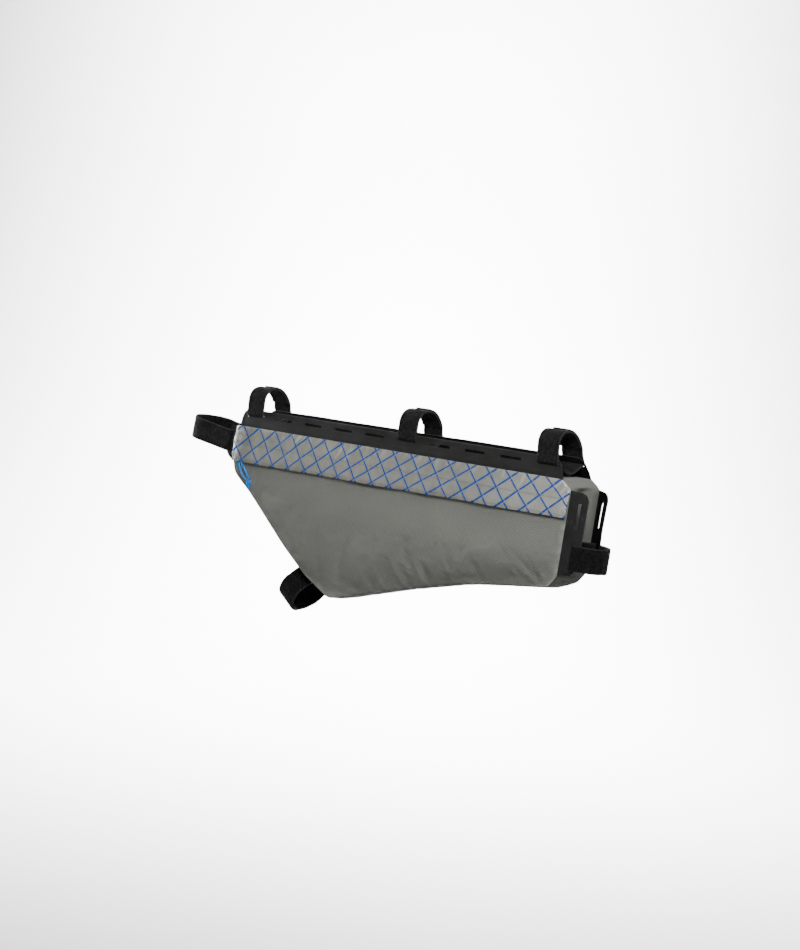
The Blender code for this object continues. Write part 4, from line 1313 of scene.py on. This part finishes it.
def build_strap(word, seat, loop, lap, shift=0.0, rake=0.0, rake_start=0.0, seed=1.0):
    """A strap of brushed tape along a closed centreline, with selvedges and a rounded free end."""
    total, at = course(loop)
    end_round, edge_round, step, climb, plump, swell = 0.007, 0.0012, 0.0010, 0.009, 0.0001, 0.0002
    samples = [*np.arange(0.0, total + lap - end_round, step)]
    samples += [total + lap - end_round * math.cos(a) for a in np.linspace(0.0, PI / 2, 10)]
    verts, uv = [], []
    for place in samples:
        point, normal = at(place)
        lift = (STRAP_THICKNESS + GAP) * smoothstep((place - total + climb) / climb)
        left = total + lap - place
        short = max(end_round - left, 0.0)
        trim = end_round - math.sqrt(max(end_round**2 - short**2, 0.0))
        thin = min(1.0, 0.55 + 0.45 * left / edge_round)
        for t, face in TAPE_RING:
            edge = 1.0 - 0.22 * smoothstep(abs(t), 0.90, 1.0)
            height = face * (STRAP_THICKNESS / 2 + plump) * edge * thin
            across = t * (STRAP_WIDTH / 2 - trim)
            if face == 0.0:
                across += swell * t
            fuzz = pile_fuzz(place, across, t, face, seed)
            across += 0.00022 * wobble((place, t, 0), 0.012, seed + 9)
            spread = normal * float(lift + height + fuzz)
            y = point.y + spread.y
            lean = rake * max(y - rake_start, 0.0)
            verts.append(seat @ Vector((shift + across - lean, point.x + spread.x, y)))
            uv.append((place, across))
    count = len(TAPE_RING)
    faces = grid_faces(len(samples), count, closed=True)
    faces.append(tuple(range(count))[::-1])
    faces.append(tuple((len(samples) - 1) * count + k for k in range(count)))
    made = mesh_object(f"{word}_pile", verts, faces, uv)
    outward(made)
    made.data.set_sharp_from_angle(angle=math.radians(50))
    finish_piece(made, "hook_and_loop", "hook_and_loop", word)


def build_straps():
    lap, lower_lap = 0.024, 0.044
    loop = slotted_loop(BESIDE, TOP_LEAN, TOP_RISE, BAG_DROP, loop_radius(TOP_BAR))
    start = TOP_RISE * math.cos(TOP_LEAN) + SLOT_WIDTH
    top_straps = (("front", -5, 0.24, 3.0), ("middle", 0, 0.16, 4.0), ("rear", 4, 0.24, 5.0))
    for place, slot, rake, seed in top_straps:
        shift = slot * SLOT_PITCH
        build_strap(f"top_strap_{place}", TOP_SEAT, loop, lap, shift, rake, start, seed)
    loop = slotted_loop(BESIDE, REAR_LEAN, REAR_RISE, REAR_BAR_REACH, loop_radius(REAR_BAR))
    build_strap("rear_strap", REAR_SEAT, loop, lap, seed=7.0)
    loop = slotted_loop(FRONT_BESIDE, 0.0, FRONT_RISE, FRONT_BAR_REACH, loop_radius(FRONT_BAR))
    build_strap("front_strap", FRONT_SEAT, loop, lap, seed=8.0)
    radius = loop_radius(LOWER_BAR)
    loop = round_loop(loop_radius(radius), radius, math.radians(62) + lower_lap / radius)
    build_strap("lower_strap", LOWER_SEAT, loop, lower_lap, seed=9.0)


build_straps()


# Floor, light and world

def area_light(name, place, target, size, power, spread=180):
    data = bpy.data.lights.new(name, "AREA")
    light = link(name, configured(data, energy=power, size=size, spread=math.radians(spread)))
    light.location = place
    light.rotation_mode = "QUATERNION"
    light.rotation_quaternion = (Vector(target) - Vector(place)).to_track_quat("-Z", "Y")


def build_stage():
    """A pale floor that sweeps up into a pale wall behind, in one piece, and the lights."""
    ahead = Vector((-0.626, 0.780, 0.0)).normalized()
    across = Vector((ahead.y, -ahead.x, 0.0))
    floor_height, near, bend, wall, reach, wide = -1.40, -6.0, 4.6, 2.4, 7.0, 10.0
    curve = [(near, floor_height), (bend / 2, floor_height), (bend, floor_height)]
    for k in range(1, 17):
        a = PI / 2 * k / 16
        curve.append((bend + wall * math.sin(a), floor_height + wall * (1 - math.cos(a))))
    curve.append((bend + wall, reach))
    verts = []
    for run, height in curve:
        for side in (-wide, 0.0, wide):
            place = ahead * run + across * side
            verts.append((place.x, place.y, height))
    floor = mesh_object("floor", verts, grid_faces(len(curve), 3, flip=True))
    shader = new_material("floor_paint", gray(0.86), 0.9, 0.1)
    dress(shader, ramp(noise_at(object_place(shader), 1.2, 2.0), (0.3, 0.85), (0.7, 0.87)))
    wear_finish(floor, "floor_paint")
    world = bpy.data.worlds.new("studio")
    bpy.context.scene.world = world
    world.use_nodes = True
    fill(world.node_tree.nodes["Background"], Color=(0.97, 0.98, 1.0), Strength=0.13)
    area_light("key", (0.78, -0.80, 0.80), (0.06, 0.0, -0.10), 0.5, 21)
    area_light("top", (0.20, -0.25, 1.2), (0.0, 0.0, -0.10), 0.8, 3.5)
    area_light("fill", (-1.2, -1.6, 0.5), (0.0, 0.0, -0.12), 1.2, 1.5)
    area_light("edge", (-1.30, -0.080, 0.03), (-0.254, -0.029, -0.042), 0.16, 0.20, spread=14)
    for name, run, height, aim_run, aim_height, power in (
        ("floor wash", 4.4, 2.6, 5.0, floor_height, 740),
        ("wall wash", 4.4, 2.8, 7.0, 1.2, 500),
    ):
        spot, aim = ahead * run, ahead * aim_run
        area_light(name, (spot.x, spot.y, height), (aim.x, aim.y, aim_height), 3.4, power, spread=84)


build_stage()
